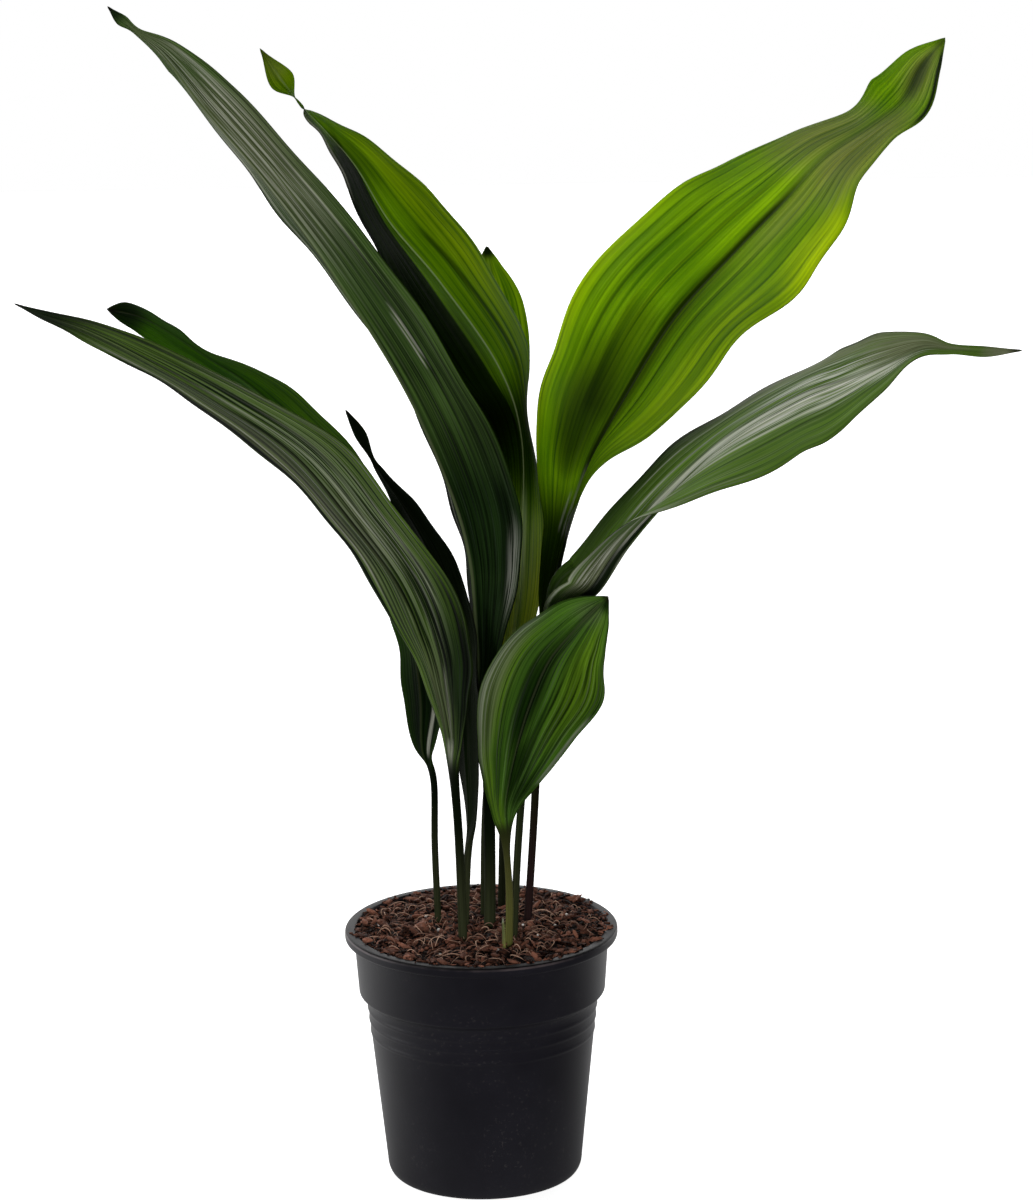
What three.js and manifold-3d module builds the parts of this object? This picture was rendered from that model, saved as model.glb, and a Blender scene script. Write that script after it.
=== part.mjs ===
// A cast iron plant, nine leaves on one creeping root stock, growing in a black plastic nursery pot.
// Millimetres, +Z up. The origin is on the pot's axis at the underside of its foot, the front is -Y.
import * as THREE from "three";
import { mergeVertices } from "three/addons/utils/BufferGeometryUtils.js";
import Module from "manifold-3d";

const wasm = await Module();
wasm.setup();

// The pot: a tapered body, three shallow hoops under a stepped collar, and a rolled lip.
const POT_HEIGHT = 160;
const POT_WALL = 1.6;
const POT_SIDES = 40;
const LIP_RADIUS = 85;
const LIP_HEIGHT = 6.5;
const COLLAR_TOP_RADIUS = 79.4;
const COLLAR_FOOT_RADIUS = 76.9;
const COLLAR_FOOT_Z = 120.5;
const STEP_Z = 116;
const BODY_TOP_RADIUS = 72.2;
const BODY_FOOT_RADIUS = 61.2;
const BODY_FOOT_Z = 9;
const HOOP_HEIGHTS = [109, 101.5, 93.5];
const HOOP_PROUD = 0.5;
const HOOP_HALF_HEIGHT = 2.2;
const STEP_ROUND = 2.4;
const LIP_ROUND = 2;
const LIP_INNER_ROUND = 1.4;
const FOOT_RING_OUTER = 56.5;
const FOOT_RING_INNER = 49;
const FOOT_DISC_RADIUS = 20;
const FOOT_HEIGHT = 3.2;
const FOOT_DRAFT = 1;
const FLOOR_TOP_Z = 5.4;
const DRAIN_HOLES = 8;
const DRAIN_HOLE_RADIUS = 5;
const DRAIN_HOLE_SIDES = 12;
const DRAIN_CIRCLE_RADIUS = 36;

// The potting mix: it fills the pot to the lip and is heaped a little round the stalks. A lump wave
// is its turn in radians per mm along x and along y, its shift and its height.
const SOIL_GAP = 0.3;
const SOIL_EDGE_Z = 158.4;
const SOIL_HEAP = 4.8;
const SOIL_LUMP_WAVES = [[0.19, 0.17, 0.2, 0.55], [0.19, -0.17, 1.0, 0.55], [0.31, -0.37, 1.2, 0.66]];
const SOIL_LUMP_LEAST_SHARE = 0.25;
const SOIL_RINGS = 9;
const SOIL_SECTORS = 40;

// The root stock: a knobbly stem that creeps just under the surface and carries every stalk.
const ROOT_RADIUS = 6;
const ROOT_Z = 130;
const ROOT_KNOB = 0.7;
const ROOT_KNOB_PITCH = 9;
const ROOT_SIDES = 8;
const ROOT_STEP = 4;
const ROOT_END_SHARE = 0.6;
const STALK_FOOT_Z = ROOT_Z + ROOT_RADIUS + ROOT_KNOB + 0.3;
const STALK_CLEARANCE = 0.35;
const HOLE_FOOT_DROP = 4;
const HOLE_TOP_Z = 176;

// Leaves: a section has this many columns across the blade, and this many steps between two rows.
// A leaf is a round stalk where it is narrow, and turns into a flat blade with a thick midrib as its
// width grows from BLADE_FROM to BLADE_FULL stalks, and not at its foot.
const LEAF_COLUMNS = 6;
const LEAF_STEPS = 2;
const BLADE_FROM = 1.5;
const BLADE_FULL = 5;
const STALK_LEAST_SHARE = 0.3;
const TIP_FOLD_SHARES = [0.5, 0.8];
const MIDRIB_THINS_SHARES = [0.2, 0.8];
const MIDRIB_HALF_REACH = 0.1;
const STALK_FLATNESS = 0.9;
const EDGE_THICKNESS = 0.8;
const TIP_THICKNESS = 1;
const LEAST_WIDTH = 1.2;
const WAVE_SIDE_SHIFT = 1.9;
const WAVE_FULL_WIDTH = 90;

// Each leaf stands as measured along its midrib, from its foot in the soil to its tip. A row is
// x, y, z of the midrib, the flat width of the leaf there, how far it is turned about the midrib
// and how far each half is folded up from flat. Lengths are in mm and angles in degrees.
// heading is the way the leaf leans, anticlockwise from +X. wave is the height of the edge's waves,
// their number along the leaf, and where along them it starts. arch is the crown of each half.
const LEAVES = [
  {
    name: "leaf_tall_left",
    heading: 190,
    stalk: 7.2,
    wave: [2.0, 4.2, 0.4],
    arch: 0.05,
    rows: [
      [5, -6, STALK_FOOT_Z, 8, 0, 0],
      [6, -8, 200, 7.6, 0, 0],
      [6, -10, 262, 7.6, 5, 0],
      [3.5, -12, 316, 21, 15, 14],
      [1, -15.5, 360.5, 52.5, 18, 16],
      [-2.5, -19, 402.5, 73.5, 22, 24],
      [-14, -23.5, 446.5, 94, 22, 24],
      [-40, -31, 510, 103, 20, 20],
      [-81, -39, 581.5, 88.5, 22, 17],
      [-118.5, -45, 637, 66.5, 26, 19],
      [-154.5, -50, 682.5, 50, 36, 30],
      [-176, -53, 713.5, 23.5, 50, 35],
      [-191.5, -53, 728, 6.5, 50, 20],
      [-200.5, -54, 736, 8, 60, 0],
      [-208, -55, 744, LEAST_WIDTH, 30, 0],
    ],
  },
  {
    name: "leaf_inner_left",
    heading: 150,
    stalk: 5.6,
    wave: [2.2, 5.0, 0.1],
    arch: 0.05,
    rows: [
      [2, 8, STALK_FOOT_Z, 6, 0, 0],
      [4, 14, 225, 5.6, 0, 0],
      [11, 21, 287, 11, 0, 0],
      [24, 30, 345, 36, -8, 8],
      [28.5, 37, 398, 44.5, -6, 4],
      [29.5, 46, 460.5, 61, 8, -12],
      [15.5, 54, 505, 92, -3, -6],
      [-18.5, 65, 554, 93.5, -6, 2],
      [-49.5, 75, 590.5, 83.5, -8, 15],
      [-70, 83, 624, 58, 0, 14],
      [-87, 89, 644, 35, 6, 12],
      [-99, 92, 657, 18, 10, 0],
      [-104, 93, 663, 5, 50, 0],
      [-115, 95, 677, 18, -30, 5],
      [-128, 98, 697, LEAST_WIDTH, 0, 0],
    ],
  },
  {
    name: "leaf_back_small",
    heading: 80,
    stalk: 4.2,
    wave: [1.2, 3.5, 0.7],
    arch: 0.05,
    rows: [
      [12, 22, STALK_FOOT_Z, 5, 0, 0],
      [15, 46, 238, 4.2, 0, 0],
      [18, 70, 318, 4.2, 0, 0],
      [19.5, 88, 378, 7.5, 10, 0],
      [18.5, 100, 422, 17, 30, 5],
      [15.5, 110, 457, 22, 35, 8],
      [16.5, 120, 493.5, 40.5, 35, 8],
      [15, 129, 527.5, 36.5, 35, 5],
      [11, 135, 551.5, 16.5, 25, 0],
      [9.5, 139, 564, LEAST_WIDTH, 20, 0],
    ],
  },
  {
    name: "leaf_broad_right",
    heading: 25,
    stalk: 4.8,
    wave: [2.6, 4.6, 0.0],
    arch: 0.04,
    rows: [
      [27, -4, STALK_FOOT_Z, 5.4, 0, 0],
      [34, 5, 230, 4.8, 0, 0],
      [39, 20, 312, 11, 0, 0],
      [44, 26, 345, 16.5, 0, 20], [49, 31, 373.5, 24.5, 0, 32],
      [56, 36, 401, 35.5, 0, 28],
      [63.5, 42, 421.5, 56.5, 3, 30],
      [74.5, 48, 449.5, 89.5, 6, 25],
      [95, 57, 484, 129.5, 16, 14],
      [126, 70, 530, 130.5, 28, 17],
      [164.5, 83, 569, 117, 31, 11],
      [194, 93, 597, 100, 28, 5],
      [219.5, 102, 622.5, 74.5, 24, 0],
      [248.5, 111, 640, 48.5, 18, 0],
      [269.5, 119, 655, 47.5, 28, 14],
      [283, 126, 677, 29.5, 32, 12],
      [297, 132, 692.5, LEAST_WIDTH, 30, 0],
    ],
  },
  {
    name: "leaf_low_right",
    heading: -22,
    stalk: 4.6,
    wave: [2.0, 5.2, 0.3],
    arch: 0.04,
    rows: [
      [19, -28, STALK_FOOT_Z, 5, 0, 0],
      [24, -33, 225, 4.6, 0, 0],
      [31, -39, 290, 4.8, 0, 0],
      [44, -47, 343.5, 26, 10, 36],
      [60, -51, 375.5, 50, 20, 54],
      [75, -55, 389, 54, 18, 58],
      [92, -62, 417.5, 63.5, 18, 36],
      [117, -71, 449.5, 78, 22, 16],
      [149.5, -82, 483.5, 90.5, 25, -4],
      [190, -95, 511.5, 96.5, 28, -9],
      [216.5, -104, 524.5, 78.5, 30, -7],
      [242, -112, 536.5, 49.5, 34, 8],
      [263, -119, 547, 19.5, 45, 22],
      [278, -123, 547, 7, 60, 10],
      [299, -129, 546.5, 6.5, 62, 0],
      [319, -134, 548, LEAST_WIDTH, 30, 0],
    ],
  },
  {
    name: "leaf_front_small",
    heading: -50,
    stalk: 4.4,
    wave: [1.4, 3.4, 0.2],
    arch: 0.05,
    rows: [
      [16, -40, STALK_FOOT_Z, 6, 0, 0],
      [18, -45, 190, 4.8, 0, 0],
      [16.5, -51, 228, 5.2, -10, 0],
      [15.5, -55, 251.5, 19.5, -12, -10],
      [18.5, -60, 272.5, 41, -11, -18],
      [24.5, -67, 299, 69.5, -10, -15],
      [32.5, -74, 325.5, 86.5, -15, -15],
      [43.5, -80.5, 352, 77.5, -25, -13],
      [57, -87, 370.5, 52, -38, -6],
      [69.5, -91, 384.5, 27, -50, 5],
      [79.5, -94, 395, LEAST_WIDTH, -50, 0],
    ],
  },
  {
    name: "leaf_low_left",
    heading: 205,
    stalk: 5.4,
    wave: [1.6, 5.4, 0.6],
    arch: 0.05,
    rows: [
      [-11, -26, STALK_FOOT_Z, 6.5, 0, 0],
      [-12, -31, 210, 5.6, 0, 0],
      [-14, -38, 258, 5.6, 0, 0],
      [-17, -44, 293, 25, 4, 8],
      [-23.5, -52, 327, 52, 9, 12],
      [-31.5, -62, 359.5, 77, 14, 10],
      [-46.5, -75, 400.5, 91.5, 12, 10],
      [-71.5, -87, 440, 104.5, 12, 8],
      [-104, -101, 485, 104.5, 13, 6],
      [-148, -117, 521.5, 82, 16, 6],
      [-189.5, -131, 551, 44, 24, 5],
      [-220, -140, 569.5, 23.5, 33, 0],
      [-243.5, -145, 579.5, 12, 30, 0],
      [-260, -148, 587, LEAST_WIDTH, 20, 0],
    ],
  },
  {
    name: "leaf_low_left_back",
    heading: 172,
    stalk: 4.2,
    wave: [1.8, 5.0, 0.9],
    arch: 0.05,
    rows: [
      [-26, 0, STALK_FOOT_Z, 4.8, 0, 0],
      [-28, 4, 208, 4.2, 0, 0],
      [-28, 8, 252, 6, 20, 0],
      [-34, 11, 273.5, 28, 35, 0],
      [-34.5, 14, 305, 56, 40, 3],
      [-39.5, 17, 343.5, 71.5, 35, 6],
      [-52.5, 22, 391, 81.5, 35, 7],
      [-78, 28, 436.5, 80.5, 35, 5],
      [-107, 35, 470, 71.5, 36, 5],
      [-136, 40, 497.5, 57, 38, 3],
      [-165.5, 44, 517, 28.5, 40, -14],
      [-185, 47, 530, 45, 36, -10],
      [-203.5, 49, 540, 40, 40, -8],
      [-224, 50, 544.5, LEAST_WIDTH, 60, 0],
    ],
  },
  {
    name: "leaf_dark_left",
    heading: 165,
    stalk: 4.6,
    wave: [1.4, 5.2, 0.5],
    arch: 0.05,
    rows: [
      [-11, -13, STALK_FOOT_Z, 5, 0, 0],
      [-8, -12, 202, 4.6, 10, 0],
      [-5, -10, 234, 20, 35, 0],
      [-7, -8, 276, 34, 40, 0],
      [-8.5, -5, 316.5, 50.5, 38, 0],
      [-12.5, 1, 351, 55, 40, 2],
      [-25, 9, 392.5, 49.5, 45, 4],
      [-41, 14, 423, 36.5, 43, 0],
      [-55.5, 18, 444.5, 16.5, 40, 0],
      [-61.5, 19, 454, 4.5, 60, 0],
      [-69, 22, 469.5, 9, 75, 0],
      [-78, 24, 485, LEAST_WIDTH, 75, 0],
    ],
  },
];

// An old leaf stalk, cut off just above the soil.
const CUT_STALK = {
  name: "cut_stalk",
  heading: 200,
  stalk: 4.4,
  rows: [
    [14.5, -47, STALK_FOOT_Z, 5.2, 0, 0],
    [14.2, -47.4, 158, 5, 0, 0],
    [13.8, -48, 181, 4.4, 0, 0],
  ],
};

// The runs of the root stock, as points in plan that pass under the stalks.
const ROOT_RUNS = [
  [[-31, 5], [-25, -2], [-11, -19], [2, -33], [14, -43], [20, -50]],
  [[-11, -19], [3, -6], [4, 8], [12, 20], [14, 29]],
  [[15, -41], [20, -28], [26, -6], [28, 6]],
];

const MATERIALS = {
  leaf: { color: 0x2f5a24, roughness: 0.38 },
  pale: { color: 0xa9b27c, roughness: 0.6 },
  root: { color: 0xb59f77, roughness: 0.8 },
  soil: { color: 0x4a3327, roughness: 0.97 },
  pot: { color: 0x1b1c1e, roughness: 0.45 },
};

const radians = THREE.MathUtils.degToRad;
const smooth = THREE.MathUtils.smoothstep;

// Catmull-Rom value at t from 0 to 1 through a list of numbers, its ends carried on straight.
function along(values, t) {
  const place = t * (values.length - 1);
  const i = Math.min(Math.floor(place), values.length - 2);
  const f = place - i;
  const b = values[i];
  const c = values[i + 1];
  const a = i > 0 ? values[i - 1] : 2 * b - c;
  const d = i + 2 < values.length ? values[i + 2] : 2 * c - b;
  const slope = (c - a) / 2;
  const nextSlope = (d - b) / 2;
  return b + slope * f + (3 * (c - b) - 2 * slope - nextSlope) * f * f
    + (2 * (b - c) + slope + nextSlope) * f * f * f;
}

// Everything that one cross-section of a leaf needs: its place, its three directions and its sizes.
function leafStation(leaf, t) {
  const column = (k) => leaf.rows.map((row) => row[k]);
  const point = (s) => new THREE.Vector3(along(column(0), s), along(column(1), s), along(column(2), s));
  const centre = point(t);
  const tangent = point(Math.min(t + 0.004, 1)).sub(point(Math.max(t - 0.004, 0))).normalize();
  const heading = radians(leaf.heading);
  const side = new THREE.Vector3(-Math.sin(heading), Math.cos(heading), 0);
  side.addScaledVector(tangent, -side.dot(tangent)).normalize();
  side.applyAxisAngle(tangent, radians(along(column(4), t)));
  const up = tangent.clone().cross(side);
  const width = Math.max(along(column(3), t), LEAST_WIDTH);
  return { centre, tangent, side, up, width, fold: radians(along(column(5), t)) };
}

// A point of a leaf's skin. u runs from -1 at its right edge to 1 at its left edge, and face is 1
// on the upper side and -1 on the lower side. grow swells the section all round.
function leafPoint(leaf, station, t, u, face, grow) {
  const { centre, side, up, width } = station;
  const widened = smooth(width, leaf.stalk * BLADE_FROM, leaf.stalk * BLADE_FULL);
  const blade = widened * smooth(t, 0, STALK_LEAST_SHARE);
  const fold = station.fold * Math.max(blade, smooth(t, ...TIP_FOLD_SHARES));
  const hand = Math.sign(u);
  const out = side.clone().multiplyScalar(hand * Math.cos(fold)).addScaledVector(up, Math.sin(fold));
  const normal = up.clone().multiplyScalar(Math.cos(fold)).addScaledVector(side, -hand * Math.sin(fold));
  const reach = Math.abs(u);
  const middle = THREE.MathUtils.lerp(leaf.stalk, TIP_THICKNESS, smooth(t, ...MIDRIB_THINS_SHARES));
  const round = middle * Math.sqrt(1 - STALK_FLATNESS * u * u);
  const flat = reach < MIDRIB_HALF_REACH ? middle : EDGE_THICKNESS;
  const thickness = THREE.MathUtils.lerp(round, flat, blade);
  let lift = 0;
  if (blade > 0) {
    const [height, count, start] = leaf.wave;
    const swing = Math.sin(2 * Math.PI * (count * t + start) + hand * WAVE_SIDE_SHIFT);
    const crown = 2 * leaf.arch * width * (reach - reach * reach);
    lift = blade * (crown + height * (width / WAVE_FULL_WIDTH) * reach * reach * swing);
  }
  return centre.clone()
    .addScaledVector(out, reach * (width / 2 + grow))
    .addScaledVector(normal, lift + face * (thickness / 2 + grow));
}

// One closed skin through rings of points. Faces on both sides of the blade split alike.
function loft(rings, columns) {
  const count = rings[0].length;
  const positions = rings.flat().flatMap((point) => [point.x, point.y, point.z]);
  const index = [];
  for (let i = 0; i + 1 < rings.length; i += 1) {
    for (let j = 0; j < count; j += 1) {
      const k = (j + 1) % count;
      const [a, b, c, d] = [i * count + j, i * count + k, (i + 1) * count + k, (i + 1) * count + j];
      if (j <= columns) {
        index.push(a, b, c, a, c, d);
      } else {
        index.push(a, b, d, b, c, d);
      }
    }
  }
  for (const [ring, ends] of [[0, [0, 1, 2, 3]], [rings.length - 1, [3, 2, 1, 0]]]) {
    for (let j = 0; j < columns; j += 1) {
      const base = ring * count;
      const corner = [base + j, base + count - 1 - j, base + count - 2 - j, base + j + 1];
      const [p, q, r, s] = ends.map((n) => corner[n]);
      index.push(p, q, r, p, r, s);
    }
  }
  const geometry = new THREE.BufferGeometry();
  geometry.setAttribute("position", new THREE.Float32BufferAttribute(positions, 3));
  geometry.setIndex(index);
  return geometry;
}

// A leaf with its stalk, from its foot up to the height or tip that is asked for.
function leafGeometry(leaf, grow = 0, topZ = Infinity) {
  const steps = (leaf.rows.length - 1) * LEAF_STEPS;
  const rings = [];
  for (let i = 0; i <= steps; i += 1) {
    const t = i / steps;
    const station = leafStation(leaf, t);
    if (i === 0 && grow > 0) {
      station.centre.addScaledVector(station.tangent, -HOLE_FOOT_DROP);
    }
    const ring = [];
    for (let j = 0; j <= LEAF_COLUMNS; j += 1) {
      ring.push(leafPoint(leaf, station, t, (2 * j) / LEAF_COLUMNS - 1, 1, grow));
    }
    for (let j = LEAF_COLUMNS; j >= 0; j -= 1) {
      ring.push(leafPoint(leaf, station, t, (2 * j) / LEAF_COLUMNS - 1, -1, grow));
    }
    rings.push(ring);
    if (station.centre.z > topZ) {
      break;
    }
  }
  return loft(rings, LEAF_COLUMNS);
}

// Outer radius of the tapered body at height z, below the step.
function bodyRadius(z) {
  const slope = (BODY_TOP_RADIUS - BODY_FOOT_RADIUS) / (STEP_Z - BODY_FOOT_Z);
  return BODY_FOOT_RADIUS + slope * (z - BODY_FOOT_Z);
}

// Outer wall from the foot up, as radius and height. The foot's corner is a quarter of an ellipse.
function potOuterWall() {
  const corner = (angle) => [
    FOOT_RING_OUTER + (BODY_FOOT_RADIUS - FOOT_RING_OUTER) * Math.sin(angle),
    BODY_FOOT_Z * (1 - Math.cos(angle)),
  ];
  const wall = [0, 30, 60, 90].map((degrees) => corner(radians(degrees)));
  for (const z of [...HOOP_HEIGHTS].reverse()) {
    wall.push([bodyRadius(z - HOOP_HALF_HEIGHT), z - HOOP_HALF_HEIGHT]);
    wall.push([bodyRadius(z) + HOOP_PROUD, z]);
    wall.push([bodyRadius(z + HOOP_HALF_HEIGHT), z + HOOP_HALF_HEIGHT]);
  }
  wall.push([BODY_TOP_RADIUS, STEP_Z]);
  wall.push([COLLAR_FOOT_RADIUS - STEP_ROUND / 2, COLLAR_FOOT_Z - STEP_ROUND]);
  wall.push([COLLAR_FOOT_RADIUS, COLLAR_FOOT_Z]);
  const underLip = POT_HEIGHT - LIP_HEIGHT;
  wall.push([COLLAR_TOP_RADIUS, underLip]);
  wall.push([LIP_RADIUS - LIP_ROUND / 2, underLip]);
  wall.push([LIP_RADIUS, underLip + LIP_ROUND]);
  wall.push([LIP_RADIUS, POT_HEIGHT - LIP_ROUND]);
  wall.push([LIP_RADIUS - LIP_ROUND / 2, POT_HEIGHT - LIP_ROUND / 4]);
  wall.push([LIP_RADIUS - 3 * LIP_ROUND / 2, POT_HEIGHT]);
  return wall;
}

// Inner wall from the lip down to the floor.
function potInnerWall() {
  return [
    [COLLAR_TOP_RADIUS - POT_WALL + LIP_INNER_ROUND, POT_HEIGHT],
    [COLLAR_TOP_RADIUS - POT_WALL, POT_HEIGHT - LIP_INNER_ROUND],
    [COLLAR_FOOT_RADIUS - POT_WALL, COLLAR_FOOT_Z],
    [COLLAR_FOOT_RADIUS - POT_WALL - STEP_ROUND / 2, COLLAR_FOOT_Z - STEP_ROUND],
    [BODY_TOP_RADIUS - POT_WALL, STEP_Z - POT_WALL / 2],
    [bodyRadius(BODY_FOOT_Z) - POT_WALL, BODY_FOOT_Z],
    [FOOT_RING_OUTER, FLOOR_TOP_Z],
  ];
}

// The whole section of the pot, from the axis on its floor round to the axis on its foot.
function potProfile() {
  const foot = [
    [0, 0],
    [FOOT_DISC_RADIUS, 0],
    [FOOT_DISC_RADIUS + FOOT_DRAFT, FOOT_HEIGHT],
    [FOOT_RING_INNER - FOOT_DRAFT, FOOT_HEIGHT],
    [FOOT_RING_INNER, 0],
  ];
  return [...foot, ...potOuterWall(), ...potInnerWall(), [0, FLOOR_TOP_Z]];
}

function latheOf(points, sides) {
  return new THREE.LatheGeometry(points.map(([r, z]) => new THREE.Vector2(r, z)), sides)
    .rotateX(Math.PI / 2);
}

// A closed solid for joining and cutting. Its skin is turned outwards first if it isn't.
function solidOf(geometry) {
  const bare = geometry.clone();
  bare.deleteAttribute("normal");
  bare.deleteAttribute("uv");
  const merged = mergeVertices(bare, 1e-4);
  const vertProperties = merged.getAttribute("position").array;
  const triVerts = Uint32Array.from(merged.index.array);
  if (signedVolume(vertProperties, triVerts) < 0) {
    for (let i = 0; i < triVerts.length; i += 3) {
      [triVerts[i], triVerts[i + 1]] = [triVerts[i + 1], triVerts[i]];
    }
  }
  return new wasm.Manifold(new wasm.Mesh({ numProp: 3, vertProperties, triVerts }));
}

function signedVolume(positions, index) {
  const corner = (n) => new THREE.Vector3().fromArray(positions, 3 * n);
  let sum = 0;
  for (let i = 0; i < index.length; i += 3) {
    sum += corner(index[i]).cross(corner(index[i + 1])).dot(corner(index[i + 2]));
  }
  return sum / 6;
}

function geometryOf(solid) {
  const mesh = solid.getMesh();
  const geometry = new THREE.BufferGeometry();
  geometry.setAttribute("position", new THREE.BufferAttribute(new Float32Array(mesh.vertProperties), 3));
  geometry.setIndex(new THREE.BufferAttribute(new Uint32Array(mesh.triVerts), 1));
  const faceted = geometry.toNonIndexed();
  faceted.computeVertexNormals();
  return faceted;
}

function makePot() {
  let pot = solidOf(latheOf(potProfile(), POT_SIDES));
  for (let i = 0; i < DRAIN_HOLES; i += 1) {
    const angle = ((i + 0.5) / DRAIN_HOLES) * 2 * Math.PI;
    const depth = 4 * FLOOR_TOP_Z;
    const drill = new THREE.CylinderGeometry(DRAIN_HOLE_RADIUS, DRAIN_HOLE_RADIUS, depth, DRAIN_HOLE_SIDES)
      .rotateX(Math.PI / 2)
      .translate(DRAIN_CIRCLE_RADIUS * Math.cos(angle), DRAIN_CIRCLE_RADIUS * Math.sin(angle), 0);
    pot = pot.subtract(solidOf(drill));
  }
  return pot;
}

// Height of the potting mix: heaped round the stalks, lumpy, and low at the wall.
function soilHeight(x, y) {
  const reach = Math.hypot(x, y) / (COLLAR_TOP_RADIUS - POT_WALL);
  const heap = SOIL_HEAP * Math.max(0, 1 - reach * reach);
  const lump = ([turnX, turnY, shift, height]) => height * Math.sin(turnX * x + turnY * y + shift);
  const lumps = SOIL_LUMP_WAVES.reduce((sum, wave) => sum + lump(wave), 0);
  return SOIL_EDGE_Z + heap + lumps * Math.max(SOIL_LUMP_LEAST_SHARE, 1 - reach ** 4);
}

// The fill of the pot, with a hollow for the root stock and a plain hole for each stalk.
function makeSoil(rootHollow, stalkHoles) {
  const wall = potInnerWall().slice(1).map(([r, z]) => [r - SOIL_GAP, Math.max(z, FLOOR_TOP_Z + SOIL_GAP)]);
  const rings = [];
  const radii = [];
  for (let i = 1; i <= SOIL_RINGS; i += 1) {
    radii.push((i / SOIL_RINGS) * wall[0][0]);
  }
  const circle = (radius, height) => Array.from({ length: SOIL_SECTORS }, (_, j) => {
    const angle = (j / SOIL_SECTORS) * 2 * Math.PI;
    const x = radius * Math.cos(angle);
    const y = radius * Math.sin(angle);
    return new THREE.Vector3(x, y, height(x, y));
  });
  for (const radius of radii) {
    rings.push(circle(radius, soilHeight));
  }
  for (const [radius, z] of wall.slice(1)) {
    rings.push(circle(radius, () => z));
  }
  const points = [new THREE.Vector3(0, 0, soilHeight(0, 0)), ...rings.flat(),
    new THREE.Vector3(0, 0, FLOOR_TOP_Z + SOIL_GAP)];
  const index = [];
  const at = (ring, sector) => 1 + ring * SOIL_SECTORS + (sector % SOIL_SECTORS);
  for (let j = 0; j < SOIL_SECTORS; j += 1) {
    index.push(0, at(0, j), at(0, j + 1));
    for (let i = 0; i + 1 < rings.length; i += 1) {
      index.push(at(i, j), at(i + 1, j), at(i + 1, j + 1));
      index.push(at(i, j), at(i + 1, j + 1), at(i, j + 1));
    }
    index.push(at(rings.length - 1, j + 1), at(rings.length - 1, j), points.length - 1);
  }
  const geometry = new THREE.BufferGeometry();
  geometry.setAttribute("position", new THREE.Float32BufferAttribute(
    points.flatMap((point) => [point.x, point.y, point.z]), 3));
  geometry.setIndex(index);
  let soil = solidOf(geometry).subtract(rootHollow);
  for (const hole of stalkHoles) {
    soil = soil.subtract(hole);
  }
  return soil;
}

// One run of the root stock: a round stem, closed and rounded at its ends, with a knob at each node.
function rootRun(plan, grow) {
  const xs = plan.map(([x]) => x);
  const ys = plan.map(([, y]) => y);
  const point = (t) => new THREE.Vector3(along(xs, t), along(ys, t), ROOT_Z);
  const stretches = plan.slice(1).map(([x, y], i) => Math.hypot(x - plan[i][0], y - plan[i][1]));
  const length = stretches.reduce((sum, stretch) => sum + stretch);
  const steps = Math.round(length / ROOT_STEP);
  const rings = [];
  for (let i = 0; i <= steps; i += 1) {
    const t = i / steps;
    const forward = point(Math.min(t + 0.01, 1)).sub(point(Math.max(t - 0.01, 0))).normalize();
    const side = new THREE.Vector3(-forward.y, forward.x, 0);
    const knob = ROOT_KNOB * Math.cos((2 * Math.PI * t * length) / ROOT_KNOB_PITCH);
    const taper = i === 0 || i === steps ? ROOT_END_SHARE : 1;
    const radius = (ROOT_RADIUS + knob) * taper + grow;
    const centre = point(t).addScaledVector(forward, i === 0 ? -grow : i === steps ? grow : 0);
    rings.push(Array.from({ length: ROOT_SIDES }, (_, j) => {
      const angle = ((j + 0.5) / ROOT_SIDES) * 2 * Math.PI;
      return centre.clone()
        .addScaledVector(side, radius * Math.cos(angle))
        .add(new THREE.Vector3(0, 0, radius * Math.sin(angle)));
    }));
  }
  return solidOf(loft(rings, ROOT_SIDES / 2 - 1));
}

function makeRoot(grow) {
  return ROOT_RUNS.map((plan) => rootRun(plan, grow)).reduce((whole, run) => whole.add(run));
}

function meshOf(name, solid, material) {
  const mesh = new THREE.Mesh(geometryOf(solid), new THREE.MeshStandardMaterial(MATERIALS[material]));
  mesh.name = name;
  return mesh;
}

const stalks = [...LEAVES, CUT_STALK];
const stalkHoles = stalks.map((stalk) => solidOf(leafGeometry(stalk, STALK_CLEARANCE, HOLE_TOP_Z)));

const plant = new THREE.Group();
plant.add(meshOf("pot", makePot(), "pot"));
plant.add(meshOf("soil", makeSoil(makeRoot(SOIL_GAP), stalkHoles), "soil"));
plant.add(meshOf("rhizome", makeRoot(0), "root"));
plant.add(meshOf(CUT_STALK.name, solidOf(leafGeometry(CUT_STALK)), "pale"));
for (const leaf of LEAVES) {
  plant.add(meshOf(leaf.name, solidOf(leafGeometry(leaf)), "leaf"));
}

export default plant;
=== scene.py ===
# The looks of a cast iron plant in a black nursery pot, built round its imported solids.
# Metres, +Z up, the front is -Y. Sizes that the solids share are given in mm, as they are there.
import random
import bmesh
import bpy
from math import cos, hypot, pi, radians, sin, sqrt
from mathutils import Matrix, Vector, noise


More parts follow.
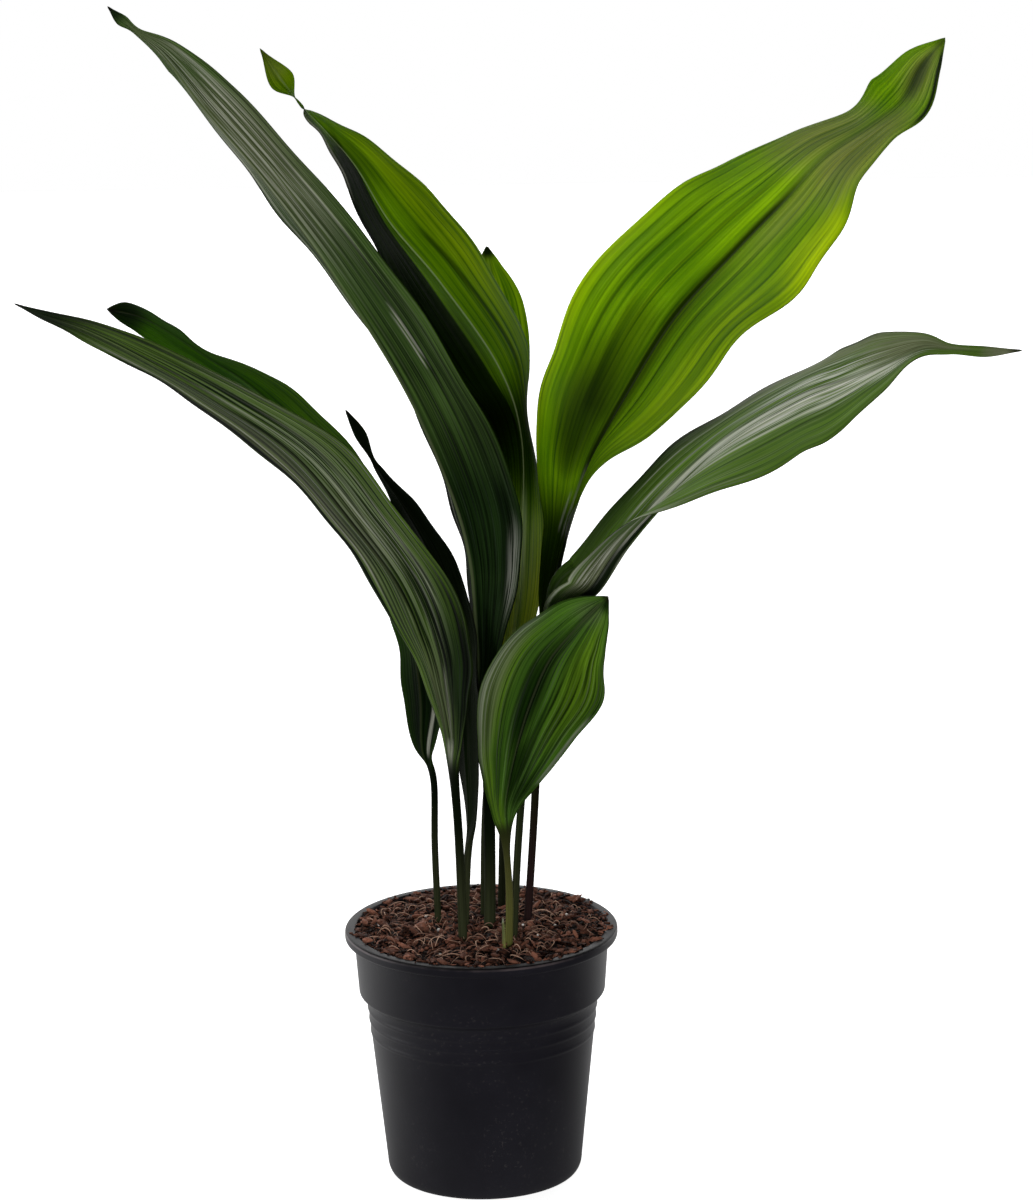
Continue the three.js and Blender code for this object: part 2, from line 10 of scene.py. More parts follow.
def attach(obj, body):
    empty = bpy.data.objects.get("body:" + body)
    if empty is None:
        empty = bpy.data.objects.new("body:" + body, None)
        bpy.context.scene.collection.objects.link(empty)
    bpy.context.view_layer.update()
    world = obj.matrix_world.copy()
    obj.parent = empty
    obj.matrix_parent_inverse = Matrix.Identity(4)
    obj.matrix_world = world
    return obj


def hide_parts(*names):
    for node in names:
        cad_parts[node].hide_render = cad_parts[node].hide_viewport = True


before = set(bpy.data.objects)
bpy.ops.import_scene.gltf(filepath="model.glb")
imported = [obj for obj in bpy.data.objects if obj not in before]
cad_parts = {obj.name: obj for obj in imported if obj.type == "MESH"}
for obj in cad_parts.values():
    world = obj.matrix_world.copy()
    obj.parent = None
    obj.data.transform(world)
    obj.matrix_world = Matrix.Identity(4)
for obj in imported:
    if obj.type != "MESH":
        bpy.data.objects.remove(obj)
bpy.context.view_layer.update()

MM = 0.001
SEED = 11
WHITE = (1.0, 1.0, 1.0, 1.0)


# Camera: the photograph's viewing angle, worked out from the pot's lip and foot.
PHOTO_SIZE = (1033, 1200)
FOCAL_PIXELS = 4800
SENSOR_MM = 36
CAMERA_AT = Vector((0.025, -2.847, 1.107))
CAMERA_PITCH = radians(14.53)
CAMERA_ROLL = radians(0.85)


def make_camera():
    data = bpy.data.cameras.new("camera")
    data.sensor_fit = "VERTICAL"
    data.sensor_height = SENSOR_MM
    data.lens = SENSOR_MM * FOCAL_PIXELS / PHOTO_SIZE[1]
    data.clip_end = 50
    camera = placed("camera", data)
    camera.location = CAMERA_AT
    level = Matrix.Rotation(pi / 2 - CAMERA_PITCH, 4, "X")
    roll = Matrix.Rotation(-CAMERA_ROLL, 4, "Z")
    camera.rotation_euler = (level @ roll).to_euler()
    bpy.context.scene.camera = camera


# Small helpers for numbers, colours, pieces and shader nodes.
def mix(a, b, share):
    return a + (b - a) * share


def smooth(value, low, high):
    share = min(max((value - low) / (high - low), 0), 1)
    return share * share * (3 - 2 * share)


def tone(code):
    """A colour as Blender reads it, from the usual six-digit code."""
    parts = [int(code[i:i + 2], 16) / 255 for i in (0, 2, 4)]
    linear = [p / 12.92 if p <= 0.04045 else ((p + 0.055) / 1.055) ** 2.4 for p in parts]
    return (*linear, 1.0)


def placed(name, data):
    """A new object in the scene from a mesh, a light or a camera."""
    made = bpy.data.objects.new(name, data)
    bpy.context.scene.collection.objects.link(made)
    return made


def meshed(bm, name, material=None):
    """A new object in the scene from a bmesh, smooth where it has a material."""
    mesh = bpy.data.meshes.new(name)
    bm.to_mesh(mesh)
    bm.free()
    if material:
        mesh.polygons.foreach_set("use_smooth", [True] * len(mesh.polygons))
        mesh.materials.append(material)
    return placed(name, mesh)


def piece_of(bm, name, material, slot, *nodes):
    """A finished piece from a bmesh: it rides on the pot's body and stands for the given solids."""
    bmesh.ops.recalc_face_normals(bm, faces=bm.faces)
    piece = meshed(bm, name, material)
    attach(piece, "root")
    if nodes:
        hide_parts(*nodes)
    return piece


def put(tree, kind, inputs=None, **settings):
    """A new node. An input is given by name or number, as a plain value or as the socket to join."""
    made = tree.nodes.new(kind)
    for name, value in settings.items():
        setattr(made, name, value)
    for name, value in (inputs or {}).items():
        if isinstance(value, bpy.types.NodeSocket):
            tree.links.new(value, made.inputs[name])
        else:
            made.inputs[name].default_value = value
    return made


def tree_of(*values):
    """The node tree that the first socket among some values is in."""
    return next(value.id_data for value in values if isinstance(value, bpy.types.NodeSocket))


def sum_of(operation, a, b=0.0, c=0.0, clamp=False):
    inputs = {0: a, 1: b, 2: c}
    return put(tree_of(a, b, c), "ShaderNodeMath", inputs, operation=operation, use_clamp=clamp).outputs[0]


def times(a, b):
    return sum_of("MULTIPLY", a, b)


def scaled(value, factor, shift, clamp=False):
    return sum_of("MULTIPLY_ADD", value, factor, shift, clamp)


def ramp(value, low, high, to_low=0.0, to_high=1.0):
    """Value read from low to high as to_low to to_high, smoothly and held beyond both ends."""
    inputs = {"Value": value, "From Min": low, "From Max": high, "To Min": to_low, "To Max": to_high}
    return put(value.id_data, "ShaderNodeMapRange", inputs, interpolation_type="SMOOTHSTEP").outputs[0]


def blend(share, a, b, way="MIX"):
    inputs = {0: share, 6: a, 7: b}
    made = put(tree_of(share, a, b), "ShaderNodeMix", inputs, data_type="RGBA", blend_type=way)
    return made.outputs[2]


def tint(share, colour, factor):
    """The colour multiplied by a factor colour, by a share."""
    return blend(share, colour, factor, "MULTIPLY")


def field(tree, name):
    return put(tree, "ShaderNodeAttribute", attribute_name=name).outputs["Fac"]


def grain(vector, scale, detail=2.0, roughness=0.5):
    inputs = {"Vector": vector, "Scale": scale, "Detail": detail, "Roughness": roughness}
    return put(vector.id_data, "ShaderNodeTexNoise", inputs).outputs["Fac"]


def place_on_object(tree):
    return put(tree, "ShaderNodeTexCoord").outputs["Object"]


def bumped(height, strength, distance):
    inputs = {"Height": height, "Strength": strength, "Distance": distance}
    return put(height.id_data, "ShaderNodeBump", inputs).outputs["Normal"]


def surface(shader):
    put(shader.id_data, "ShaderNodeOutputMaterial", {"Surface": shader.outputs[0]})


def new_material(name):
    material = bpy.data.materials.new(name)
    material.use_nodes = True
    material.node_tree.nodes.clear()
    return material, material.node_tree


def new_group(name, colours, values):
    """An empty shader group with colour and value inputs. It gives a colour, a roughness and a height."""
    tree = bpy.data.node_groups.new(name, "ShaderNodeTree")
    sockets = [(label, "INPUT", "Color") for label in colours]
    sockets += [(label, "INPUT", "Float") for label in values]
    sockets += [("Color", "OUTPUT", "Color"), ("Roughness", "OUTPUT", "Float"), ("Height", "OUTPUT", "Float")]
    for label, way, kind in sockets:
        tree.interface.new_socket(label, in_out=way, socket_type="NodeSocket" + kind)
    return tree, put(tree, "NodeGroupInput").outputs, put(tree, "NodeGroupOutput").inputs


def marked_skin(tree, group, inputs, gloss, bump_strength, bump_distance):
    """A skin whose colour, roughness and bumps come from a shader group of markings."""
    marks = put(tree, "ShaderNodeGroup", inputs, node_tree=group).outputs
    return put(tree, "ShaderNodeBsdfPrincipled", {
        "Base Color": marks["Color"],
        "Roughness": marks["Roughness"],
        "Normal": bumped(marks["Height"], bump_strength, bump_distance),
        "Specular IOR Level": gloss,
    })


# Leaves. The rows repeat the solids' own: x, y, z of the midrib, flat width, turn and fold. Thick is
# the stalk's, and wave and arch are the blade's form. Ribs are their number in each half and their
# depth in mm, and ripple is the height in mm, number and shift of the small waves of the margin. Deep
# and fresh are the two tones that ribs and streaks go between; from leaf to leaf they are partly the
# leaf's own green and partly painted light and shade, lime where a leaf is lit from behind and near
# black where it lies in shade. Glow is the light that the blade lets through and its share. Streaks,
# midrib, groove and vein glints are how much those marks show. The rest are soft patches: a place
# across and along, a reach both ways and a strength. The yellower, brighter ones are painted light;
# the greyer ones are partly paler underside and partly painted grey sheen; shady ones are painted
# shade; and sheen is a painted streaked silvery highlight on a glossier skin. Pale and dark are long
# strokes: a place across and along for both ends, a half width in mm and a strength. The pale ones
# are mostly painted highlights along folds and glare lines, with some pale midrib and cut tissue,
# and the dark ones are painted shade.
STALK_FOOT_Z = 137
LEAST_WIDTH = 1.2
USUAL = dict(arch=0.05, gloss=0.03, groove=0.5, stalk="0e140a", foot="40452e", tip="1c1612")
LEAVES = {}
LEAVES["leaf_tall_left"] = dict(
    heading=190, thick=7.2, wave=(2, 4.2, 0.4), ribs=(9, 0.08), ripple=(1, 13, 0), deep="243614",
    fresh="64863e", tip="0c0a08", glow=("5c7d1c", 0.2), streaks=1.1, midrib=0.25, groove=0.3, threads=0.3,
    rows=[(5, -6, STALK_FOOT_Z, 8, 0, 0), (6, -8, 200, 7.6, 0, 0), (6, -10, 262, 7.6, 5, 0),
        (3.5, -12, 316, 21, 15, 14), (1, -15.5, 360.5, 52.5, 18, 16), (-2.5, -19, 402.5, 73.5, 22, 24),
        (-14, -23.5, 446.5, 94, 22, 24), (-40, -31, 510, 103, 20, 20), (-81, -39, 581.5, 88.5, 22, 17),
        (-118.5, -45, 637, 66.5, 26, 19), (-154.5, -50, 682.5, 50, 36, 30),
        (-176, -53, 713.5, 23.5, 50, 35), (-191.5, -53, 728, 6.5, 50, 20), (-200.5, -54, 736, 8, 60, 0),
        (-208, -55, 744, LEAST_WIDTH, 30, 0)],
    dull=[(0.2, 0.82, 1.5, 0.16, 0.45), (0.2, 0.67, 1.4, 0.14, 0.7)],
    shady=[(0, 0.26, 4, 0.28, 1), (0, 0.38, 4, 0.18, 1), (0, 0.97, 4, 0.07, 1),
        (0.35, 0.53, 0.5, 0.1, 0.6), (-0.6, 0.42, 0.8, 0.16, 0.9)],
    sheen=[(0.2, 0.7, 0.8, 0.16, 0.4), (-0.7, 0.66, 0.4, 0.1, 0.5), (0.85, 0.34, 0.2, 0.07, 0.3)],
    pale=[(-0.86, 0.72, -0.86, 0.34, 1, 1), (0.74, 0.82, 0.66, 0.56, 0.8, 0.6),
        (0.58, 0.76, 0.52, 0.64, 0.6, 0.4), (0.5, 0.545, 0.52, 0.51, 0.7, 1),
        (0.44, 0.54, 0.46, 0.505, 0.6, 0.8), (-0.5, 0.6, -0.55, 0.5, 0.6, 0.4)],
    dark=[(-0.96, 0.74, -0.96, 0.28, 1.4, 1), (0.75, 0.44, 0.7, 0.3, 5, 0.6)],
)
LEAVES["leaf_inner_left"] = dict(
    heading=150, thick=5.6, wave=(2.2, 5, 0.1), ribs=(8, 0.06), ripple=(1, 12, 0.3), deep="2c4a04",
    fresh="5e860a", glow=("b0cc06", 0.56), streaks=0.9, midrib=1, groove=0.3, threads=0.06, stalk="5a6444",
    rows=[(2, 8, STALK_FOOT_Z, 6, 0, 0), (4, 14, 225, 5.6, 0, 0), (11, 21, 287, 11, 0, 0),
        (24, 30, 345, 36, -8, 8), (28.5, 37, 398, 44.5, -6, 4), (29.5, 46, 460.5, 61, 8, -12),
        (15.5, 54, 505, 92, -3, -6), (-18.5, 65, 554, 93.5, -6, 2), (-49.5, 75, 590.5, 83.5, -8, 15),
        (-70, 83, 624, 58, 0, 14), (-87, 89, 644, 35, 6, 12), (-99, 92, 657, 18, 10, 0),
        (-104, 93, 663, 5, 50, 0), (-115, 95, 677, 18, -30, 5), (-128, 98, 697, LEAST_WIDTH, 0, 0)],
    sunny=[(-0.7, 0.56, 0.5, 0.2, 0.9), (-0.5, 0.42, 0.5, 0.12, 0.5), (0, 0.95, 2, 0.1, 0.6)],
    dull=[(0, 0.22, 3, 0.13, 1), (0.95, 0.72, 0.2, 0.12, 0.6), (0, 0.97, 2, 0.07, 0.5)],
    shady=[(0, 0.36, 3, 0.07, 0.8), (-0.2, 0.66, 0.3, 0.08, 0.3)],
    dark=[(0.62, 0.3, 0.66, 0.74, 16.5, 1), (0.35, 0.3, 0.3, 0.5, 8, 0.3), (-0.5, 0.4, -0.3, 0.56, 2, 0.5),
        (0.85, 0.6, 0.8, 0.86, 5, 0.6)],
    pale=[(0.94, 0.6, 0.9, 0.8, 0.8, 0.8), (0.1, 0.16, 0, 0.33, 4, 0.3), (0.02, 0.34, 0, 0.6, 0.7, 0.6)],
)
LEAVES["leaf_back_small"] = dict(
    heading=80, thick=4.2, wave=(1.2, 3.5, 0.7), ribs=(6, 0.08), ripple=(0.5, 9, 0.1), deep="3c5a0c",
    fresh="70901c", glow=("c8dc20", 0.66), gloss=0.1, streaks=0.9, midrib=0.3, threads=0.05,
    rows=[(12, 22, STALK_FOOT_Z, 5, 0, 0), (15, 46, 238, 4.2, 0, 0), (18, 70, 318, 4.2, 0, 0),
        (19.5, 88, 378, 7.5, 10, 0), (18.5, 100, 422, 17, 30, 5), (15.5, 110, 457, 22, 35, 8),
        (16.5, 120, 493.5, 40.5, 35, 8), (15, 129, 527.5, 36.5, 35, 5), (11, 135, 551.5, 16.5, 25, 0),
        (9.5, 139, 564, LEAST_WIDTH, 20, 0)],
    pale=[(0.88, 0.66, 0.9, 0.95, 1.1, 1)],
    shady=[(0, 0.97, 2, 0.06, 1)],
)
# Its lime tones are painted light over its own green, for a leaf lit from behind.
LEAVES["leaf_broad_right"] = dict(
    heading=25, thick=4.8, wave=(2.6, 4.6, 0), arch=0.04, ribs=(9, 0.05), ripple=(1.5, 12, 0.5),
    deep="4c740c", fresh="84ae12", glow=("d2ee0e", 0.64), gloss=0.1, streaks=0.75, midrib=0.1,
    threads=0.06, foot="4a3236",
    rows=[(27, -4, STALK_FOOT_Z, 5.4, 0, 0), (34, 5, 230, 4.8, 0, 0), (39, 20, 312, 11, 0, 0),
        (44, 26, 345, 16.5, 0, 20), (49, 31, 373.5, 24.5, 0, 32), (56, 36, 401, 35.5, 0, 28),
        (63.5, 42, 421.5, 56.5, 3, 30), (74.5, 48, 449.5, 89.5, 6, 25), (95, 57, 484, 129.5, 16, 14),
        (126, 70, 530, 130.5, 28, 17), (164.5, 83, 569, 117, 31, 11), (194, 93, 597, 100, 28, 5),
        (219.5, 102, 622.5, 74.5, 24, 0), (248.5, 111, 640, 48.5, 18, 0), (269.5, 119, 655, 47.5, 28, 14),
        (283, 126, 677, 29.5, 32, 12), (297, 132, 692.5, LEAST_WIDTH, 30, 0)],
    sunny=[(0.97, 0.5, 0.14, 0.24, 0.45), (-0.9, 0.66, 0.4, 0.08, 1), (-0.8, 0.54, 0.4, 0.14, 0.6)],
    dull=[(0.5, 0.78, 1.1, 0.1, 0.9), (-0.4, 0.79, 1, 0.13, 1), (-0.2, 0.93, 1.2, 0.1, 0.75),
        (-0.2, 0.7, 0.35, 0.12, 0.5)],
    shady=[(0, 0.27, 3, 0.17, 1), (0.36, 0.46, 0.5, 0.1, 0.8), (-0.02, 0.5, 0.2, 0.2, 0.5),
        (-0.1, 0.92, 0.5, 0.06, 0.6)],
    pale=[(0.1, 0.3, 0.02, 0.43, 0.8, 1), (-0.2, 0.3, -0.1, 0.41, 0.7, 0.9),
        (0.3, 0.31, 0.16, 0.39, 0.6, 0.6), (-0.05, 0.3, -0.02, 0.38, 0.6, 0.8)],
    dark=[(-0.93, 0.84, -0.88, 0.99, 1.2, 1), (0.02, 0.36, 0.02, 0.74, 2, 0.8),
        (0.2, 0.46, 0.3, 0.57, 11, 0.35), (0.62, 0.5, 0.62, 0.66, 0.6, 0.5),
        (0.32, 0.5, 0.3, 0.72, 0.6, 0.5), (-0.3, 0.42, -0.25, 0.66, 0.6, 0.5)],
)
LEAVES["leaf_low_right"] = dict(
    heading=-22, thick=4.6, wave=(2, 5.2, 0.3), arch=0.04, ribs=(9, 0.08), ripple=(1, 12, 0.2),
    deep="3c5416", fresh="648c2c", glow=("8aac20", 0.25), gloss=0.06, streaks=0.8, midrib=0.2, threads=0.3,
    rows=[(19, -28, STALK_FOOT_Z, 5, 0, 0), (24, -33, 225, 4.6, 0, 0), (31, -39, 290, 4.8, 0, 0),
        (44, -47, 343.5, 26, 10, 36), (60, -51, 375.5, 50, 20, 54), (75, -55, 389, 54, 18, 58),
        (92, -62, 417.5, 63.5, 18, 36), (117, -71, 449.5, 78, 22, 16), (149.5, -82, 483.5, 90.5, 25, -4),
        (190, -95, 511.5, 96.5, 28, -9), (216.5, -104, 524.5, 78.5, 30, -7),
        (242, -112, 536.5, 49.5, 34, 8), (263, -119, 547, 19.5, 45, 22), (278, -123, 547, 7, 60, 10),
        (299, -129, 546.5, 6.5, 62, 0), (319, -134, 548, LEAST_WIDTH, 30, 0)],
    dull=[(0.95, 0.66, 0.6, 0.3, 0.7), (0.3, 0.8, 1, 0.16, 0.9), (-0.4, 0.33, 0.6, 0.14, 1),
        (0, 0.97, 4, 0.07, 1)],
    shady=[(-0.2, 0.22, 3, 0.09, 1), (0.95, 0.26, 0.6, 0.12, 0.8), (0.9, 0.44, 0.45, 0.2, 0.8)],
    sheen=[(0.1, 0.43, 0.3, 0.08, 0.9), (-0.06, 0.5, 0.32, 0.12, 1), (-0.04, 0.59, 0.36, 0.12, 1),
        (-0.16, 0.68, 0.42, 0.12, 1), (-0.35, 0.76, 0.4, 0.08, 1), (0.3, 0.64, 0.4, 0.12, 0.8),
        (-0.5, 0.36, 0.4, 0.08, 0.7)],
    pale=[(0, 0.36, 0.14, 0.56, 1.3, 1), (0.15, 0.42, -0.05, 0.75, 1.7, 1),
        (-0.2, 0.37, -0.1, 0.66, 1.4, 1), (-0.1, 0.46, -0.25, 0.8, 1.1, 1),
        (0.4, 0.4, 0.36, 0.58, 0.8, 0.8), (-0.3, 0.42, -0.36, 0.78, 0.9, 1), (0.1, 0.48, 0, 0.7, 0.9, 1),
        (-0.05, 0.52, -0.16, 0.78, 0.9, 1), (-0.4, 0.36, -0.5, 0.5, 0.9, 1),
        (0.72, 0.42, 0.6, 0.62, 0.5, 0.6), (-0.93, 0.2, -0.93, 0.5, 1.7, 1)],
    dark=[(0.2, 0.46, 0, 0.7, 0.6, 0.8), (0.42, 0.46, 0.24, 0.62, 0.6, 0.7),
        (-0.02, 0.54, -0.14, 0.74, 0.6, 0.7), (0.93, 0.4, 0.93, 0.75, 1.2, 0.7),
        (-0.12, 0.2, -0.12, 0.48, 3.5, 1)],
)
LEAVES["leaf_front_small"] = dict(
    heading=-50, thick=4.4, wave=(1.4, 3.4, 0.2), ribs=(9, 0.13), ripple=(0.3, 8, 0.4), deep="223812",
    fresh="5c8a2c", glow=("8cbc20", 0.25), gloss=0.06, streaks=1.1, midrib=0.1, groove=0.9, threads=0.2,
    stalk="34381c", foot="7c7c42",
    rows=[(16, -40, STALK_FOOT_Z, 6, 0, 0), (18, -45, 190, 4.8, 0, 0), (16.5, -51, 228, 5.2, -10, 0),
        (15.5, -55, 251.5, 19.5, -12, -10), (18.5, -60, 272.5, 41, -11, -18),
        (24.5, -67, 299, 69.5, -10, -15), (32.5, -74, 325.5, 86.5, -15, -15),
        (43.5, -80.5, 352, 77.5, -25, -13), (57, -87, 370.5, 52, -38, -6), (69.5, -91, 384.5, 27, -50, 5),
        (79.5, -94, 395, LEAST_WIDTH, -50, 0)],
    sunny=[(0.62, 0.7, 0.45, 0.3, 1), (-0.8, 0.42, 0.35, 0.2, 0.9), (-0.5, 0.28, 0.7, 0.12, 0.8),
        (-0.62, 0.62, 0.3, 0.22, 0.7)],
    dull=[(-0.8, 0.62, 0.4, 0.26, 0.55), (0, 0.9, 1.2, 0.1, 0.3)],
    shady=[(-0.06, 0.6, 0.34, 0.26, 1), (0.14, 0.42, 0.4, 0.16, 0.9), (0.6, 0.97, 0.8, 0.06, 1),
        (0.55, 0.36, 0.6, 0.1, 0.8)],
    sheen=[(-0.85, 0.62, 0.2, 0.25, 0.2)],
    pale=[(0.92, 0.38, 0.95, 0.6, 1, 0.5), (-0.93, 0.4, -0.93, 0.85, 2, 0.2)],
    dark=[(0.28, 0.36, 0.35, 0.7, 0.7, 0.7), (0.52, 0.4, 0.6, 0.75, 0.6, 0.6)],
)
LEAVES["leaf_low_left"] = dict(
    heading=205, thick=5.4, wave=(1.6, 5.4, 0.6), ribs=(9, 0.16), ripple=(0.4, 12, 0.7), deep="101f08",
    fresh="628230", glow=("5c8d1c", 0.15), streaks=1.7, midrib=0.15, threads=0.45,
    rows=[(-11, -26, STALK_FOOT_Z, 6.5, 0, 0), (-12, -31, 210, 5.6, 0, 0), (-14, -38, 258, 5.6, 0, 0),
        (-17, -44, 293, 25, 4, 8), (-23.5, -52, 327, 52, 9, 12), (-31.5, -62, 359.5, 77, 14, 10),
        (-46.5, -75, 400.5, 91.5, 12, 10), (-71.5, -87, 440, 104.5, 12, 8),
        (-104, -101, 485, 104.5, 13, 6), (-148, -117, 521.5, 82, 16, 6), (-189.5, -131, 551, 44, 24, 5),
        (-220, -140, 569.5, 23.5, 33, 0), (-243.5, -145, 579.5, 12, 30, 0),
        (-260, -148, 587, LEAST_WIDTH, 20, 0)],
    dull=[(0.1, 0.3, 1, 0.14, 0.4), (-0.7, 0.6, 0.5, 0.3, 0.5), (0.1, 0.53, 0.5, 0.1, 0.4)],
    shady=[(0, 0.94, 4, 0.14, 1), (0.7, 0.33, 0.8, 0.2, 1)],
    sheen=[(0.3, 0.55, 0.5, 0.25, 0.2)],
    pale=[(-0.76, 0.84, -0.8, 0.4, 0.8, 1), (-0.4, 0.7, -0.3, 0.45, 0.6, 0.7),
        (0.12, 0.72, 0.2, 0.5, 0.7, 0.6), (0.6, 0.62, 0.5, 0.42, 0.6, 0.5),
        (0.9, 0.74, 0.92, 0.5, 0.7, 0.8), (-0.1, 0.56, 0, 0.4, 0.6, 0.6), (0.3, 0.36, 0.2, 0.2, 0.8, 0.3),
        (0.2, 0.24, 0.1, 0.16, 2, 0.6)],
    dark=[(-0.92, 0.86, -0.94, 0.3, 2, 1), (-0.62, 0.7, -0.6, 0.35, 0.9, 0.9),
        (0, 0.66, 0.05, 0.36, 0.8, 0.9), (0.4, 0.6, 0.35, 0.3, 0.8, 0.9), (0.8, 0.5, 0.85, 0.24, 2, 0.7),
        (-0.2, 0.55, -0.15, 0.28, 0.7, 0.8), (0.22, 0.62, 0.2, 0.4, 0.6, 0.8)],
)
LEAVES["leaf_low_left_back"] = dict(
    heading=172, thick=4.2, wave=(1.8, 5, 0.9), ribs=(8, 0.1), ripple=(0.9, 12, 0.2), deep="10260a",
    fresh="3a6206", glow=("8cbe10", 0.35), gloss=0.02, streaks=0.9, midrib=0.1, threads=0.08,
    rows=[(-26, 0, STALK_FOOT_Z, 4.8, 0, 0), (-28, 4, 208, 4.2, 0, 0), (-28, 8, 252, 6, 20, 0),
        (-34, 11, 273.5, 28, 35, 0), (-34.5, 14, 305, 56, 40, 3), (-39.5, 17, 343.5, 71.5, 35, 6),
        (-52.5, 22, 391, 81.5, 35, 7), (-78, 28, 436.5, 80.5, 35, 5), (-107, 35, 470, 71.5, 36, 5),
        (-136, 40, 497.5, 57, 38, 3), (-165.5, 44, 517, 28.5, 40, -14), (-185, 47, 530, 45, 36, -10),
        (-203.5, 49, 540, 40, 40, -8), (-224, 50, 544.5, LEAST_WIDTH, 60, 0)],
    sunny=[(0.7, 0.64, 0.7, 0.2, 1)],
    shady=[(0, 0.26, 2, 0.24, 1), (0, 0.96, 2, 0.08, 0.9)],
    pale=[(0.5, 0.2, 0.45, 0.32, 2, 0.9)],
)
# Its near-black tones are partly its own dark green and partly painted shade, for a leaf in shade.
LEAVES["leaf_dark_left"] = dict(
    heading=165, thick=4.6, wave=(1.4, 5.2, 0.5), ribs=(6, 0.1), ripple=(0.8, 10, 0.6), deep="070c06",
    fresh="16220e", glow=("2c4a10", 0.05), streaks=0.8, midrib=0, groove=0.3, threads=0.05,
    rows=[(-11, -13, STALK_FOOT_Z, 5, 0, 0), (-8, -12, 202, 4.6, 10, 0), (-5, -10, 234, 20, 35, 0),
        (-7, -8, 276, 34, 40, 0), (-8.5, -5, 316.5, 50.5, 38, 0), (-12.5, 1, 351, 55, 40, 2),
        (-25, 9, 392.5, 49.5, 45, 4), (-41, 14, 423, 36.5, 43, 0), (-55.5, 18, 444.5, 16.5, 40, 0),
        (-61.5, 19, 454, 4.5, 60, 0), (-69, 22, 469.5, 9, 75, 0), (-78, 24, 485, LEAST_WIDTH, 75, 0)],
)
CUT_STALK = dict(
    heading=200, thick=4.4, wave=(0, 0, 0), arch=0, ribs=(2, 0), ripple=(0, 0, 0), deep="4f5a2c",
    fresh="8c9455", glow=("8c9455", 0.1), gloss=0.3, streaks=1, midrib=0, groove=0, threads=0.2,
    stalk="7d7c38", foot="8a8446", tip="f6eec4",
    rows=[(14.5, -47, STALK_FOOT_Z, 5.2, 0, 0), (14.2, -47.4, 158, 5, 0, 0), (13.8, -48, 181, 4.4, 0, 0)],
    pale=[(0, 0.92, 0, 1.25, 4, 1)],
)

TANGENT_STEP = 0.004
BLADE_FROM = 1.5
BLADE_FULL = 5
STALK_LEAST_SHARE = 0.3
TIP_FOLD_SHARES = (0.5, 0.8)
MIDRIB_THINS_SHARES = (0.2, 0.8)
WAVE_SIDE_SHIFT = 1.9
RIPPLE_SIDE_SHIFT = 0.23
RIB_WANDER = 0.25
WAVE_FULL_WIDTH = 90
BLADE_THICKNESS = 0.7
TIP_THICKNESS = 0.8
MARGIN_UNEVEN = 0.035
MARGIN_ROUNDNESS = 24
GROOVE_DEPTH = 0.55
GROOVE_REACH = 2.2
KEEL_PROUD = 0.9
KEEL_STALK_SHARE = 0.3
KEEL_REACH = 1.6
BLADE_COLUMNS = 108
BLADE_ROW_STEP = 4
STALK_COLUMNS = 12
MERGE_DISTANCE = 0.00001
STROKE_EDGE = 0.9


def along(values, t):
    """Catmull-Rom value at t from 0 to 1 through a list of numbers, its ends carried on straight."""
    place = t * (len(values) - 1)
    i = min(int(place), len(values) - 2)
    f = place - i
    b, c = values[i], values[i + 1]
    a = values[i - 1] if i > 0 else 2 * b - c
    d = values[i + 2] if i + 2 < len(values) else 2 * c - b
    slope, next_slope = (c - a) / 2, (d - b) / 2
    square = (3 * (c - b) - 2 * slope - next_slope) * f * f
    return b + slope * f + square + (2 * (b - c) + slope + next_slope) * f * f * f


def leaf_station(leaf, t):
    """Place, directions and sizes of one cross-section of a leaf, in mm."""
    columns = list(zip(*leaf["rows"]))

    def point(s):
        return Vector(along(column, s) for column in columns[:3])

    tangent = (point(min(t + TANGENT_STEP, 1)) - point(max(t - TANGENT_STEP, 0))).normalized()
    heading = radians(leaf["heading"])
    side = Vector((-sin(heading), cos(heading), 0))
    side = (side - tangent * side.dot(tangent)).normalized()
    side.rotate(Matrix.Rotation(radians(along(columns[4], t)), 3, tangent))
    return {
        "t": t,
        "centre": point(t),
        "side": side,
        "up": tangent.cross(side),
        "width": max(along(columns[3], t), LEAST_WIDTH),
        "fold": radians(along(columns[5], t)),
    }


def blade_share(leaf, station):
    widened = smooth(station["width"], leaf["thick"] * BLADE_FROM, leaf["thick"] * BLADE_FULL)
    return widened * smooth(station["t"], 0, STALK_LEAST_SHARE)


def rib_turns(leaf, station, u):
    """Which rib a place is on: whole numbers are the ribs' crests, as they wander along the blade."""
    wander = RIB_WANDER * noise.noise(Vector((2.5 * station["t"], 2 * u, leaf["ripple"][2] + 5)))
    return leaf["ribs"][0] * abs(u) + wander


def blade_relief(leaf, station, u, blade):
    """How far the blade's sheet lies off its two flat halves: crown, waves, ripples and ribs."""
    t, width, reach = station["t"], station["width"], abs(u)
    hand = -1 if u < 0 else 1
    height, count, start = leaf["wave"]
    swing = sin(2 * pi * (count * t + start) + hand * WAVE_SIDE_SHIFT)
    lift = 2 * leaf["arch"] * width * (reach - reach * reach)
    lift += height * (width / WAVE_FULL_WIDTH) * reach * reach * swing
    ripple_height, ripple_count, ripple_start = leaf["ripple"]
    turns = ripple_count * t + ripple_start + RIPPLE_SIDE_SHIFT * hand
    uneven = 1 + 0.8 * noise.noise(Vector((9 * t, 3 * hand, ripple_start)))
    ripple = ripple_height * uneven * sin(2 * pi * turns)
    lift += ripple * (width / WAVE_FULL_WIDTH) * reach ** 3
    strength = max(0.1, 0.9 + 1.6 * noise.noise(Vector((4 * t, 9 * u, ripple_start + 9))))
    full = smooth(width, 20, 60) * smooth(reach, 0.02, 0.15) * (1 - smooth(reach, 0.9, 1))
    lift += leaf["ribs"][1] * strength * full * cos(2 * pi * rib_turns(leaf, station, u))
    return blade * lift


